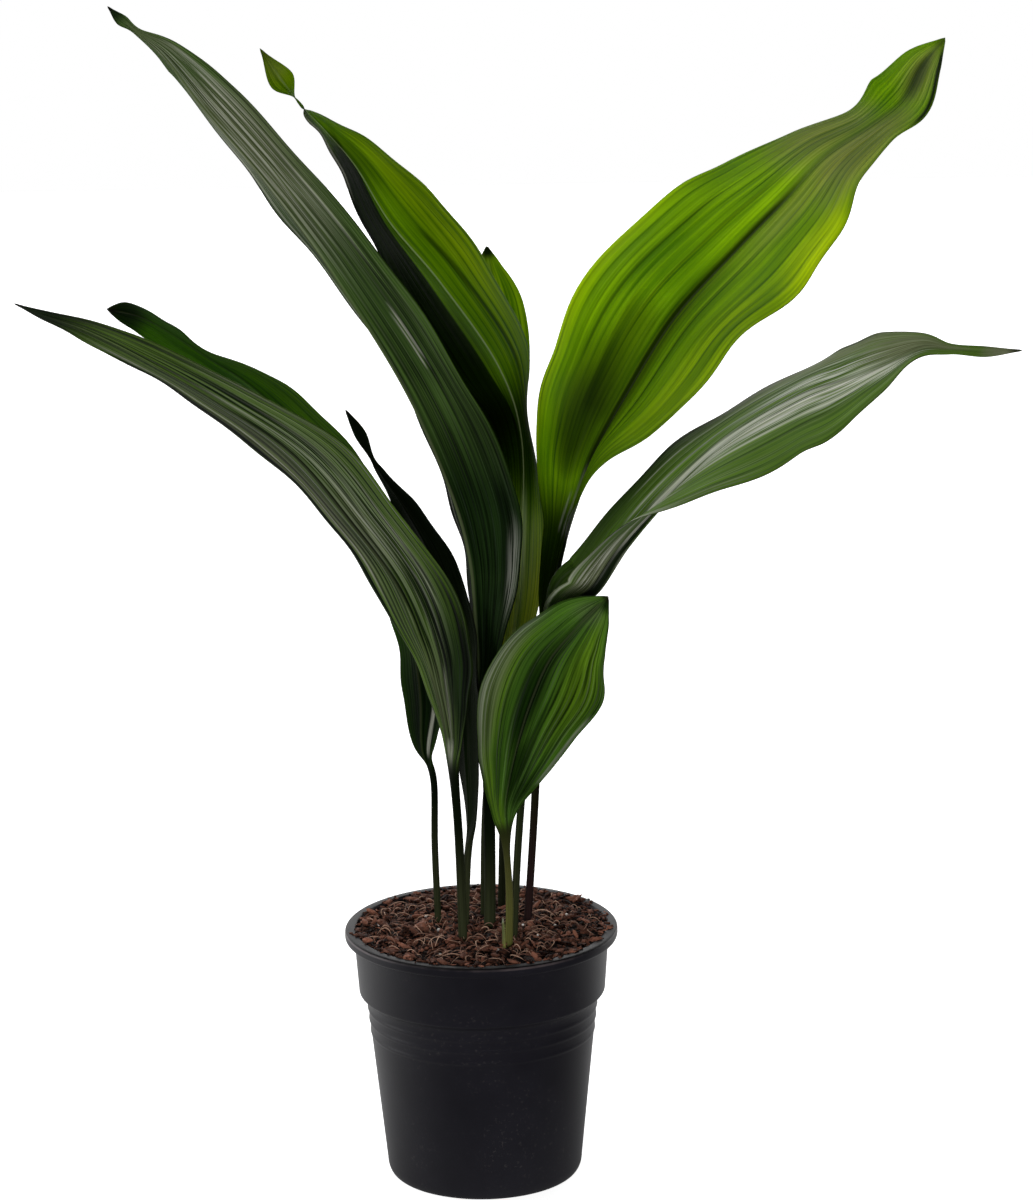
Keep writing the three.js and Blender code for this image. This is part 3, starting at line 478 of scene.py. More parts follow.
def leaf_point(leaf, station, u, face):
    """A point of the leaf's skin, in mm. Face is 1 on the upper side and -1 on the lower side."""
    blade = blade_share(leaf, station)
    t, width, side, up = station["t"], station["width"], station["side"], station["up"]
    fold = station["fold"] * max(blade, smooth(t, *TIP_FOLD_SHARES))
    hand = (u > 0) - (u < 0)
    out = side * (hand * cos(fold)) + up * sin(fold)
    normal = up * cos(fold) - side * (hand * sin(fold))
    reach = abs(u)
    middle = mix(leaf["thick"], TIP_THICKNESS, smooth(t, *MIDRIB_THINS_SHARES))
    edge = sqrt(max(1 - reach ** MARGIN_ROUNDNESS, 0))
    thickness = mix(middle * sqrt(max(1 - u * u, 0)), BLADE_THICKNESS * edge, blade)
    lift = 0
    spread = reach * width / 2
    if blade > 0:
        from_rib = spread
        uneven = noise.noise(Vector((15 * t, 4 * hand, 7 + leaf["ripple"][2])))
        spread *= 1 + MARGIN_UNEVEN * blade * reach ** 4 * uneven
        lift = blade_relief(leaf, station, u, blade)
        strength = blade * mix(1, 0.4, t)
        if face > 0:
            lift -= strength * GROOVE_DEPTH * (1 - smooth(from_rib, 0, GROOVE_REACH))
        else:
            keel = KEEL_PROUD + KEEL_STALK_SHARE * (middle - TIP_THICKNESS)
            lift -= strength * keel * (1 - smooth(from_rib, 0, KEEL_REACH))
    return station["centre"] + out * spread + normal * (lift + face * thickness / 2)


def patch_strength(patches, u, t):
    """The strongest of some soft patches at a place on the leaf."""
    best = 0
    for at_u, at_t, reach_u, reach_t, strength in patches:
        away = hypot((u - at_u) / reach_u, (t - at_t) / reach_t)
        best = max(best, strength * (1 - smooth(away, 0.2, 1)))
    return best


def stroke_strength(strokes, u, t, width):
    """The strongest of some long strokes at a place on a leaf that is so wide there, in mm."""
    best = 0
    for from_u, from_t, to_u, to_t, half, strength in strokes:
        place = (t - from_t) / (to_t - from_t)
        if 0 < place < 1:
            away = abs(u - mix(from_u, to_u, place)) * width / 2
            soft = min(half, STROKE_EDGE)
            ends = smooth(place, 0, 0.2) * (1 - smooth(place, 0.8, 1))
            best = max(best, strength * ends * (1 - smooth(away, half - soft, half + soft)))
    return best


PATCHES = ("sunny", "dull", "shady", "sheen")
STROKES = ("pale", "dark")
LEAF_FIELDS = ("across", "along", "from_rib", "from_edge", "upper", "blade", "share", "turns")


def make_leaf(name, leaf, material, slot="leaf", columns=BLADE_COLUMNS):
    """One leaf with its stalk: a sheet rolled into a flat tube, closed at its foot and its tip."""
    knots = [Vector(row[:3]) for row in leaf["rows"]]
    length = sum((b - a).length for a, b in zip(knots, knots[1:]))
    steps = round(length / BLADE_ROW_STEP)
    stations = [leaf_station(leaf, i / steps) for i in range(steps + 1)]
    bm = bmesh.new()
    bmesh.ops.create_grid(bm, x_segments=2 * columns, y_segments=steps, size=1)
    layers = [bm.verts.layers.float.new("leaf_" + key) for key in LEAF_FIELDS + PATCHES + STROKES]
    ends = {0: [], steps: []}
    for vertex in bm.verts:
        row = round((vertex.co.y + 1) / 2 * steps)
        place = vertex.co.x + 1
        face = 1 if place <= 1 else -1
        even = 2 * place - 1 if place <= 1 else 3 - 2 * place
        station = stations[row]
        blade = blade_share(leaf, station)
        u = mix(-cos(pi * (even + 1) / 2), even, blade)
        vertex.co = leaf_point(leaf, station, u, face) * MM
        half_width = station["width"] / 2 * MM
        t, width = station["t"], station["width"]
        from_rib, from_edge = abs(u) * half_width, (1 - abs(u)) * half_width
        values = [u, t * length * MM, from_rib, from_edge, (face + 1) / 2, blade, t]
        values.append(rib_turns(leaf, station, u))
        values += [patch_strength(leaf.get(key, ()), u, t) for key in PATCHES]
        values += [stroke_strength(leaf.get(key, ()), u, t, width) for key in STROKES]
        for layer, value in zip(layers, values):
            vertex[layer] = value
        if row in ends:
            ends[row].append(vertex)
    for row, ring in ends.items():
        bmesh.ops.pointmerge(bm, verts=ring, merge_co=stations[row]["centre"] * MM)
    bmesh.ops.remove_doubles(bm, verts=bm.verts, dist=MERGE_DISTANCE)
    piece_of(bm, name.replace("leaf_", "blade_"), material, slot, name)


LEAF_COLOURS = ("Deep", "Fresh", "Stalk", "Foot", "Tip")
LEAF_VALUES = ("Streaks", "Midrib", "Groove", "Threads")
LEAF_SHIFT_STEP = 7.3
CUT_STALK_SHIFT = 91.0


def mask(tree, name):
    return field(tree, "leaf_" + name)


def add_streaks(tree, shift):
    """Rib lines, streaks at three widths and soft clouds of a leaf, each as a value from 0 to 1."""
    across, length = mask(tree, "across"), mask(tree, "along")

    def streaks(per_half, per_metre, detail):
        lane = times(across, per_half)
        place = times(length, per_metre)
        vector = put(tree, "ShaderNodeCombineXYZ", {0: lane, 1: place, 2: shift}).outputs[0]
        return grain(vector, 1.0, detail)

    made = {
        "broad": streaks(4, 6, 2.0),
        "middle": ramp(streaks(15, 7, 2.0), 0.36, 0.64),
        "fine": ramp(streaks(42, 14, 2.0), 0.36, 0.64),
        "threads": ramp(streaks(58, 9, 1.0), 0.56, 0.68),
    }
    # Crest follows the ribs' relief as seen from each face; the tones use it as painted light, a little
    # lighter on the crests.
    turns = mask(tree, "turns")
    crest = sum_of("COSINE", times(turns, 2 * pi))
    facing = scaled(mask(tree, "upper"), 2.0, -1.0)
    made["crest"] = scaled(times(crest, facing), 0.5, 0.5)

    # Each dark line between two ribs has its own strength, and breaks off here and there. On the skin it is
    # painted shade in the groove.
    lane = times(sum_of("FLOOR", turns), 5.3)
    place = times(length, 9.0)
    vector = put(tree, "ShaderNodeCombineXYZ", {0: lane, 1: place, 2: shift}).outputs[0]
    drawn = ramp(grain(vector, 1.0, 2.0), 0.38, 0.62)
    made["line"] = times(ramp(crest, -0.7, -0.98), drawn)
    made["cloud"] = grain(place_on_object(tree), 14.0, 3.0)
    return made


def add_up(base, parts, factor=1.0):
    """Base plus each part's distance from its middle, weighted, and kept between 0 and 1."""
    level = 0.0
    for part, weight in parts:
        level = scaled(sum_of("SUBTRACT", part, 0.5), weight, level)
    return scaled(level, factor, base, clamp=True)


def leaf_markings():
    """The shader group of every leaf: ribs, streaks, patches, strokes, midrib, margin, stalk and tip."""
    tree, given, out = new_group("leaf_markings", LEAF_COLOURS, LEAF_VALUES + ("Shift",))
    marks = add_streaks(tree, given["Shift"])
    blade = mask(tree, "blade")
    length, share = mask(tree, "along"), mask(tree, "share")
    parts = [(marks["crest"], 0.2), (marks["broad"], 1.1), (marks["middle"], 0.5), (marks["fine"], 0.5)]
    base = scaled(marks["cloud"], 0.8, 0.08)
    level = add_up(base, parts, given["Streaks"])
    colour = blend(level, given["Deep"], given["Fresh"])
    # Painted shade in the grooves between ribs.
    colour = tint(times(marks["line"], 0.55), colour, (0.3, 0.38, 0.35, 1))
    # Painted light: these patches are yellower and brighter.
    colour = tint(mask(tree, "sunny"), colour, (1.7, 1.4, 0.7, 1))
    # Greyer patches: partly a paler underside, partly painted grey sheen.
    dull = add_up(mask(tree, "dull"), [(marks["middle"], 0.3), (marks["cloud"], 0.8)])
    dull = times(dull, ramp(mask(tree, "dull"), 0.0, 0.5))
    grey = blend(marks["fine"], tone("5a5c42"), tone("909278"))
    colour = blend(times(dull, 0.8), colour, grey)
    # Pale vein lines: painted glints along the fine veins.
    drawn = times(marks["threads"], given["Threads"])
    colour = blend(times(drawn, marks["broad"]), colour, tone("c8ccb0"))
    # Painted shade: the shady patches and the dark strokes.
    colour = tint(mask(tree, "shady"), colour, (0.14, 0.18, 0.2, 1))
    colour = tint(mask(tree, "dark"), colour, (0.1, 0.13, 0.14, 1))
    # Sheen is a painted streaked highlight, and lowers the roughness as well.
    glint = scaled(marks["fine"], 0.6, times(marks["middle"], 0.4))
    glint = ramp(glint, 0.45, 0.8)
    sheen = times(mask(tree, "sheen"), glint)
    colour = blend(times(sheen, 0.95), colour, tone("ecece0"))
    # Pale strokes are mostly painted highlights along folds and glare lines, with some pale midrib and cut
    # tissue.
    pale = scaled(marks["fine"], 0.55, 0.35)
    pale = times(mask(tree, "pale"), pale)
    colour = blend(pale, colour, tone("e6e8d4"))

    # The midrib is a pale line with painted shade in the groove beside it, and the margin is thin and dark.
    from_rib, from_edge = mask(tree, "from_rib"), mask(tree, "from_edge")
    beside = times(ramp(from_rib, 0.0006, 0.003, 0.8, 0), given["Groove"])
    colour = tint(times(beside, blade), colour, (0.2, 0.26, 0.2, 1))
    midrib = times(ramp(from_rib, 0.0004, 0.0012, 1, 0), given["Midrib"])
    midrib = times(midrib, blade)
    colour = blend(times(midrib, 0.8), colour, tone("b4c48c"))
    margin = times(ramp(from_edge, 0.0003, 0.0012, 1, 0), blade)
    colour = tint(times(margin, 0.75), colour, (0.3, 0.3, 0.22, 1))

    # The stalk is darker than the blade and paler at its foot, and the tip is dry.
    stalk = blend(times(marks["fine"], 0.3), given["Stalk"], given["Deep"])
    foot = ramp(length, 0.02, 0.07, 1, 0)
    foot = times(foot, scaled(marks["fine"], 0.5, 0.5))
    stalk = blend(foot, stalk, given["Foot"])
    bare = times(ramp(blade, 0.0, 0.6, 1, 0), ramp(share, 0.5, 0.8, 1, 0))
    colour = blend(bare, colour, stalk)
    colour = blend(times(ramp(share, 0.965, 0.99), 0.85), colour, given["Tip"])
    tree.links.new(colour, out["Color"])

    rough = scaled(marks["fine"], 0.12, 0.36)
    rough = scaled(marks["cloud"], 0.14, rough)
    rough = scaled(sheen, -0.14, rough)
    tree.links.new(rough, out["Roughness"])
    height = scaled(marks["middle"], 0.5, times(marks["fine"], 0.5))
    tree.links.new(height, out["Height"])
    return tree


def leaf_material(name, markings, leaf, shift):
    material, tree = new_material(name)
    inputs = {label: tone(leaf[label.lower()]) for label in LEAF_COLOURS}
    inputs.update({label: leaf[label.lower()] for label in LEAF_VALUES})
    inputs["Shift"] = shift
    skin = marked_skin(tree, markings, inputs, leaf["gloss"], 0.4, 0.0004)

    # Light from behind shows the same ribs dark, as the blade is thicker there.
    veins = add_streaks(tree, shift)
    parts = [(veins["crest"], 0.2), (veins["broad"], 1.0), (veins["middle"], 0.4), (veins["fine"], 0.25)]
    base = scaled(veins["cloud"], 0.7, 0.2)
    level = add_up(base, parts, leaf["streaks"])
    glow_colour, glow_share = leaf["glow"]
    glow = tint(1.0, tone(glow_colour), blend(level, (0.3, 0.45, 0.4, 1), WHITE))
    glow = tint(times(veins["line"], 0.6), glow, (0.3, 0.42, 0.3, 1))
    # The painted light, grey sheen and painted shade marks tint the light let through as well.
    glow = tint(mask(tree, "sunny"), glow, (1.6, 1.3, 0.8, 1))
    glow = tint(mask(tree, "dull"), glow, (1.25, 0.96, 8.0, 1))
    for key in ("shady", "dark"):
        glow = tint(mask(tree, key), glow, (0.03, 0.05, 0.05, 1))
    # Painted shade in the groove beside the midrib dims the light let through too.
    groove = ramp(mask(tree, "from_rib"), 0.001, 0.003, 0.7, 0)
    groove = times(groove, leaf["groove"])
    glow = tint(groove, glow, (0.2, 0.3, 0.2, 1))
    bare = ramp(mask(tree, "blade"), 0.2, 1.0, 1, 0)
    bare = times(bare, ramp(mask(tree, "share"), 0.5, 0.8, 1, 0))
    glow = tint(bare, glow, (0.02, 0.03, 0.02, 1))
    through = put(tree, "ShaderNodeBsdfTranslucent", {"Color": glow})
    both = put(tree, "ShaderNodeMixShader", {0: glow_share, 1: skin.outputs[0], 2: through.outputs[0]})
    surface(both)
    return material


def make_leaves():
    markings = leaf_markings()
    for number, (name, own) in enumerate(LEAVES.items()):
        leaf = {**USUAL, **own}
        material = leaf_material(name + "_skin", markings, leaf, LEAF_SHIFT_STEP * number)
        make_leaf(name, leaf, material)
    material = leaf_material("cut_stalk_skin", markings, CUT_STALK, CUT_STALK_SHIFT)
    make_leaf("cut_stalk", CUT_STALK, material, "cut_stalk", STALK_COLUMNS)


# The pot: the same section as the solid's, with its round stretches drawn finer.
POT_HEIGHT = 160
POT_WALL = 1.6
LIP_RADIUS = 85
LIP_HEIGHT = 6.5
COLLAR_TOP_RADIUS = 79.4
COLLAR_FOOT_RADIUS = 76.9
COLLAR_FOOT_Z = 120.5
STEP_Z = 116
BODY_TOP_RADIUS = 72.2
BODY_FOOT_RADIUS = 61.2
BODY_FOOT_Z = 9
HOOP_HEIGHTS = (93.5, 101.5, 109)
HOOP_PROUD = 0.5
HOOP_HALF_HEIGHT = 2.2
STEP_ROUND = 2.4
LIP_ROUND = 2
LIP_INNER_ROUND = 1.4
FOOT_RING_OUTER = 56.5
FOOT_RING_INNER = 49
FOOT_DISC_RADIUS = 20
FOOT_HEIGHT = 3.2
FOOT_DRAFT = 1
FLOOR_TOP_Z = 5.4
DRAIN_HOLES = 8
DRAIN_HOLE_RADIUS = 5
DRAIN_CIRCLE_RADIUS = 36
POT_SIDES = 144
ARC_STEPS = 5


def body_radius(z):
    slope = (BODY_TOP_RADIUS - BODY_FOOT_RADIUS) / (STEP_Z - BODY_FOOT_Z)
    return BODY_FOOT_RADIUS + slope * (z - BODY_FOOT_Z)


def arc(centre, radius, start, end):
    """Points on an arc in the section, as radius and height. Angles are in degrees from outwards."""
    points = []
    for i in range(ARC_STEPS + 1):
        angle = radians(mix(start, end, i / ARC_STEPS))
        points.append((centre[0] + radius * cos(angle), centre[1] + radius * sin(angle)))
    return points


def hoop(z):
    """A shallow moulded hoop: half a wave of the wall."""
    points = []
    for i in range(9):
        place = i / 4 - 1
        at = z + place * HOOP_HALF_HEIGHT
        points.append((body_radius(at) + HOOP_PROUD * (0.5 + 0.5 * cos(pi * place)), at))
    return points


def pot_section():
    """The closed section of the pot as (radius, height) in mm, from the axis under its foot."""
    under_lip = POT_HEIGHT - LIP_HEIGHT
    section = [
        (0, 0),
        (FOOT_DISC_RADIUS, 0),
        (FOOT_DISC_RADIUS + FOOT_DRAFT, FOOT_HEIGHT),
        (FOOT_RING_INNER - FOOT_DRAFT, FOOT_HEIGHT),
        (FOOT_RING_INNER, 0),
    ]
    for i in range(ARC_STEPS * 2 + 1):
        angle = pi / 2 * i / (ARC_STEPS * 2)
        radius = FOOT_RING_OUTER + (BODY_FOOT_RADIUS - FOOT_RING_OUTER) * sin(angle)
        section.append((radius, BODY_FOOT_Z * (1 - cos(angle))))
    for z in HOOP_HEIGHTS:
        section += hoop(z)
    section.append((BODY_TOP_RADIUS, STEP_Z - 0.8))
    section.append((BODY_TOP_RADIUS + 0.6, STEP_Z))
    section += arc((COLLAR_FOOT_RADIUS - STEP_ROUND, COLLAR_FOOT_Z), STEP_ROUND, -60, 0)
    section += [(COLLAR_TOP_RADIUS - 0.2, under_lip - 1.2), (COLLAR_TOP_RADIUS + 0.5, under_lip)]
    section += arc((LIP_RADIUS - LIP_ROUND, under_lip + LIP_ROUND), LIP_ROUND, -90, 0)
    section += arc((LIP_RADIUS - LIP_ROUND, POT_HEIGHT - LIP_ROUND), LIP_ROUND, 0, 90)
    inner_top = COLLAR_TOP_RADIUS - POT_WALL + LIP_INNER_ROUND
    section += arc((inner_top, POT_HEIGHT - LIP_INNER_ROUND), LIP_INNER_ROUND, 90, 180)
    section += [
        (COLLAR_FOOT_RADIUS - POT_WALL, COLLAR_FOOT_Z),
        (COLLAR_FOOT_RADIUS - POT_WALL - STEP_ROUND / 2, COLLAR_FOOT_Z - STEP_ROUND),
        (BODY_TOP_RADIUS - POT_WALL, STEP_Z - POT_WALL / 2),
        (BODY_FOOT_RADIUS - POT_WALL, BODY_FOOT_Z),
        (FOOT_RING_OUTER, FLOOR_TOP_Z),
        (0, FLOOR_TOP_Z),
    ]
    return section


def make_pot():
    bm = bmesh.new()
    verts = [bm.verts.new((radius * MM, 0, z * MM)) for radius, z in pot_section()]
    edges = [bm.edges.new(pair) for pair in zip(verts, verts[1:])]
    bmesh.ops.spin(bm, geom=verts + edges, cent=(0, 0, 0), axis=(0, 0, 1), angle=2 * pi,
                   steps=POT_SIDES, use_merge=True)
    bmesh.ops.remove_doubles(bm, verts=bm.verts, dist=MERGE_DISTANCE)
    pot = piece_of(bm, "nursery_pot", pot_plastic(), "pot_plastic", "pot")
    drill_drain_holes(pot)


def drill_drain_holes(pot):
    bm = bmesh.new()
    for i in range(DRAIN_HOLES):
        angle = (i + 0.5) / DRAIN_HOLES * 2 * pi
        at = Vector((cos(angle), sin(angle), 0)) * DRAIN_CIRCLE_RADIUS * MM
        bmesh.ops.create_cone(bm, cap_ends=True, segments=32, radius1=DRAIN_HOLE_RADIUS * MM,
                              radius2=DRAIN_HOLE_RADIUS * MM, depth=4 * FLOOR_TOP_Z * MM,
                              matrix=Matrix.Translation(at))
    drill = meshed(bm, "drain_drill")
    cut = pot.modifiers.new("drain_holes", "BOOLEAN")
    cut.operation = "DIFFERENCE"
    cut.solver = "EXACT"
    cut.object = drill
    depsgraph = bpy.context.evaluated_depsgraph_get()
    drilled = bpy.data.meshes.new_from_object(pot.evaluated_get(depsgraph))
    pot.modifiers.clear()
    pot.data = drilled
    bpy.data.meshes.remove(drill.data)


def pot_plastic():
    """Black moulded plastic: satin, faintly clouded, and matte and dusty on top of the lip."""
    material, tree = new_material("black_plastic")
    spot = place_on_object(tree)
    height = put(tree, "ShaderNodeSeparateXYZ", {0: spot}).outputs["Z"]
    cloud = grain(spot, 18.0, 4.0, 0.6)
    pitted = grain(spot, 900.0, 2.0)
    speckle = grain(spot, 420.0, 3.0, 0.7)
    lip = ramp(height, (POT_HEIGHT - 1.4) * MM, (POT_HEIGHT - 0.5) * MM)
    rim = ramp(height, (POT_HEIGHT - 2.2) * MM, (POT_HEIGHT - 1.5) * MM)
    rim = times(rim, ramp(height, (POT_HEIGHT - 0.5) * MM, (POT_HEIGHT - 0.9) * MM))
    # The rounded top edge of the lip is paler in clouds.
    pale_rim_band = times(rim, ramp(cloud, 0.35, 0.6))
    dust = times(ramp(speckle, 0.58, 0.7), ramp(cloud, 0.42, 0.66))
    colour = blend(cloud, tone("131217"), tone("2a2930"))
    colour = blend(times(lip, 0.7), colour, tone("100d0c"))
    colour = blend(times(pale_rim_band, 0.5), colour, tone("75696a"))
    colour = blend(times(dust, 0.35), colour, tone("5a5654"))
    rough = scaled(cloud, 0.22, 0.32)
    skin = put(tree, "ShaderNodeBsdfPrincipled", {
        "Base Color": colour,
        "Roughness": rough,
        "Normal": bumped(pitted, 0.3, 0.0003),
        "Specular IOR Level": 0.05,
        "Coat Weight": scaled(lip, -1.0, 1.0, clamp=True),
        "Coat Roughness": 0.42,
        "Coat IOR": 1.49,
    })
    surface(skin)
    return material


# The potting mix: a lumpy bed, bark chips, curled fibres and a few pale grains.
SOIL_EDGE_Z = 158.4
SOIL_HEAP = 4.8
SOIL_LUMP_WAVES = ((0.19, 0.17, 0.2, 0.55), (0.19, -0.17, 1.0, 0.55), (0.31, -0.37, 1.2, 0.66))
SOIL_GAP = 0.3
BED_CELLS = 150
BED_DROP = 1.6
BED_ROUGH = 1.5
BED_ROUGH_SIZE = 3.2
LIP_SPILL = 5
SPILL_CLUMP_SIZE = 9
CHIPS = 3600
CHIP_SIZES = (0.7, 0.9, 1.1, 1.3, 1.7, 2.4)
LARGE_CHIP = 2.4
FIBRES = 330
FIBRE_LENGTHS = (6, 17)
FIBRE_HALF_WIDTHS = (0.16, 0.36)
FIBRE_HUMPS = (1.2, 3.4)
FIBRE_MOST_BEND = 2.6
FIBRE_LEAST_BEND = 0.2
GRAINS = 26
GRAIN_SIZES = (0.7, 1.3)


def soil_height(x, y):
    """Height in mm of the solid's top at a place in mm."""
    reach = hypot(x, y) / (COLLAR_TOP_RADIUS - POT_WALL)
    heap = SOIL_HEAP * max(0, 1 - reach * reach)
    lumps = sum(height * sin(a * x + b * y + shift) for a, b, shift, height in SOIL_LUMP_WAVES)
    return SOIL_EDGE_Z + heap + lumps * max(0.25, 1 - reach ** 4)


def make_bed(material):
    """The bed that the chips lie on, down to the floor of the pot."""
    wall = [(COLLAR_TOP_RADIUS - POT_WALL, None), (COLLAR_FOOT_RADIUS - POT_WALL, COLLAR_FOOT_Z),
            (BODY_TOP_RADIUS - POT_WALL, STEP_Z), (BODY_FOOT_RADIUS - POT_WALL, BODY_FOOT_Z),
            (FOOT_RING_OUTER, FLOOR_TOP_Z + SOIL_GAP)]
    top_radius = wall[0][0] - SOIL_GAP
    bm = bmesh.new()
    bmesh.ops.create_grid(bm, x_segments=BED_CELLS, y_segments=BED_CELLS, size=1)
    shade = bm.verts.layers.float.new("soil_shade")
    for vertex in bm.verts:
        a, b = vertex.co.x, vertex.co.y
        x = top_radius * a * sqrt(1 - b * b / 2)
        y = top_radius * b * sqrt(1 - a * a / 2)
        rough = noise.fractal(Vector((x, y, 0)) / BED_ROUGH_SIZE, 1.0, 2.0, 4)
        vertex.co = Vector((x, y, soil_height(x, y) - BED_DROP + BED_ROUGH * rough)) * MM
        # Painted shade: the bed is darker where it dips.
        vertex[shade] = 0.15 + 0.3 * rough
    rim = [edge for edge in bm.edges if edge.is_boundary]
    for radius, z in wall[1:]:
        grown = bmesh.ops.extrude_edge_only(bm, edges=rim)["geom"]
        ring = [item for item in grown if isinstance(item, bmesh.types.BMVert)]
        for vertex in ring:
            flat = Vector((vertex.co.x, vertex.co.y, 0)).normalized() * (radius - SOIL_GAP) * MM
            vertex.co = flat + Vector((0, 0, z * MM))
        rim = [item for item in grown if isinstance(item, bmesh.types.BMEdge)]
    bmesh.ops.holes_fill(bm, edges=rim)
    piece_of(bm, "mix_bed", material, "potting_mix", "soil")


def scatter(chance, clear=0.0):
    """A place in mm on the mix, even over its whole surface."""
    radius = (COLLAR_TOP_RADIUS - POT_WALL - clear) * sqrt(chance.random())
    angle = chance.uniform(0, 2 * pi)
    x, y = radius * cos(angle), radius * sin(angle)
    return Vector((x, y, soil_height(x, y)))


def tumbled(chance, most_tilt):
    spin = Matrix.Rotation(chance.uniform(0, 2 * pi), 3, "Z")
    lean = Matrix.Rotation(chance.gauss(0, most_tilt), 3, "X")
    return spin @ lean @ Matrix.Rotation(chance.uniform(0, 2 * pi), 3, "Z")


def add_stone(bm, layer, shade, at, sizes, turn, chance, rounds=1, uneven=0.22):
    """One chip or grain: a ball with few faces, stretched, dented and turned."""
    made = bmesh.ops.create_icosphere(bm, subdivisions=rounds, radius=1)["verts"]
    for vertex in made:
        dent = 1 + chance.uniform(-uneven, uneven)
        local = vertex.co * Vector(sizes) * dent
        vertex.co = (at + turn @ local) * MM
        vertex[layer] = shade


def loose(number):
    """For one kind of loose piece: a chance of its own, an empty bmesh and its layer of shades."""
    bm = bmesh.new()
    return random.Random(SEED + number), bm, bm.verts.layers.float.new("soil_shade")


def make_chips(material):
    chance, bm, layer = loose(0)
    for _ in range(CHIPS):
        size = chance.choice(CHIP_SIZES) * chance.uniform(0.8, 1.25)
        shares = chance.uniform(0.9, 2.1), chance.uniform(0.5, 0.9), chance.uniform(0.3, 0.6)
        sizes = [size * share for share in shares]
        at = scatter(chance, clear=-LIP_SPILL)
        at.z += chance.uniform(-1.8, 0.6) + 1.2 * smooth(at.y, 20, 70)
        edge = Vector((at.x, at.y)).length - COLLAR_TOP_RADIUS + POT_WALL
        if edge + sizes[0] > 1.5 + LIP_SPILL * (0.5 + 0.8 * noise.noise(at / SPILL_CLUMP_SIZE)):
            continue
        if edge > -sizes[0]:
            at.z = max(at.z, POT_HEIGHT + chance.uniform(0.1, 0.6))
        shade = chance.random() ** 1.6
        add_stone(bm, layer, shade, at, sizes, tumbled(chance, 0.5), chance, 2 if size > LARGE_CHIP else 1)
    chips = piece_of(bm, "bark_chips", material, "potting_mix")
    chips.data.polygons.foreach_set("use_smooth", [False] * len(chips.data.polygons))


def add_fibre(bm, layer, chance):
    """A curled root fibre: a slim tube bent along an arc that dips into the mix at both ends."""
    length = chance.uniform(*FIBRE_LENGTHS)
    thick = chance.uniform(*FIBRE_HALF_WIDTHS)
    bend = chance.uniform(-FIBRE_MOST_BEND, FIBRE_MOST_BEND)
    hump = chance.uniform(*FIBRE_HUMPS)
    at = scatter(chance, clear=6)
    turn = Matrix.Rotation(chance.uniform(0, 2 * pi), 3, "Z")
    made = bmesh.ops.create_grid(bm, x_segments=5, y_segments=9, size=1)["verts"]
    shade = chance.uniform(0, 1)
    for vertex in made:
        around = (vertex.co.x + 1) * pi
        run = vertex.co.y
        heading = bend * run / 2
        radius = length / max(abs(bend), FIBRE_LEAST_BEND)
        centre = Vector((sin(heading) * (1 if bend >= 0 else -1), 1 - cos(heading), 0)) * radius
        side = Vector((-sin(heading), cos(heading), 0))
        lift = hump * (1 - run * run) - 0.9 * run * run
        width = thick * (1 - 0.5 * run * run)
        local = centre + side * (cos(around) * width) + Vector((0, 0, lift + sin(around) * width))
        vertex.co = (at + turn @ local) * MM
        vertex[layer] = shade


def make_fibres(material):
    chance, bm, layer = loose(1)
    for _ in range(FIBRES):
        add_fibre(bm, layer, chance)
    bmesh.ops.remove_doubles(bm, verts=bm.verts, dist=MERGE_DISTANCE)
    bmesh.ops.holes_fill(bm, edges=[edge for edge in bm.edges if edge.is_boundary])
    piece_of(bm, "root_fibres", material, "potting_mix")


def make_grains(material):
    chance, bm, layer = loose(2)
    for _ in range(GRAINS):
        size = chance.uniform(*GRAIN_SIZES)
        at = scatter(chance, clear=3) + Vector((0, 0, 0.6))
        add_stone(bm, layer, 1, at, (size, size * 0.9, size * 0.8), tumbled(chance, 1), chance, 2, 0.12)
    piece_of(bm, "pale_grains", material, "potting_mix")


def soil_grain():
    """The shader group of the mix's pieces: two tones by piece, crumbled."""
    tree, given, out = new_group("soil_grain", ("Dark", "Light"), ("Fineness",))
    crumb = grain(place_on_object(tree), given["Fineness"], 4.0, 0.65)
    level = scaled(sum_of("SUBTRACT", crumb, 0.5), 1.1, field(tree, "soil_shade"))
    colour = blend(sum_of("ADD", level, 0.0, clamp=True), given["Dark"], given["Light"])
    tree.links.new(colour, out["Color"])
    tree.links.new(scaled(crumb, -0.3, 0.95), out["Roughness"])
    tree.links.new(crumb, out["Height"])
    return tree


def soil_material(name, group, dark, light, fineness):
    material, tree = new_material(name)
    inputs = {"Dark": tone(dark), "Light": tone(light), "Fineness": fineness}
    surface(marked_skin(tree, group, inputs, 0.15, 0.6, 0.0006))
    return material


def make_potting_mix():
    group = soil_grain()
    make_bed(soil_material("mix_crumbs", group, "0d0706", "3a241b", 500))
    make_chips(soil_material("bark", group, "140907", "93624f", 700))
    make_fibres(soil_material("fibre", group, "56322a", "cfa890", 900))
    make_grains(soil_material("pale_mineral", group, "8d8078", "e8e2dc", 900))
    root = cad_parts["rhizome"]
    root.data.materials.clear()
    root.data.materials.append(soil_material("root_skin", group, "6b5233", "b59f77", 300))


# The studio: a pale floor that runs up into a bright wall behind, side and top lights, a dark front.
FLOOR_FRONT = -6.0
WALL_Y = 4.5
WALL_HEIGHT = 3.6
FLOOR_HALF_WIDTH = 6.0
COVE_RADIUS = 0.8
COVE_STEPS = 10


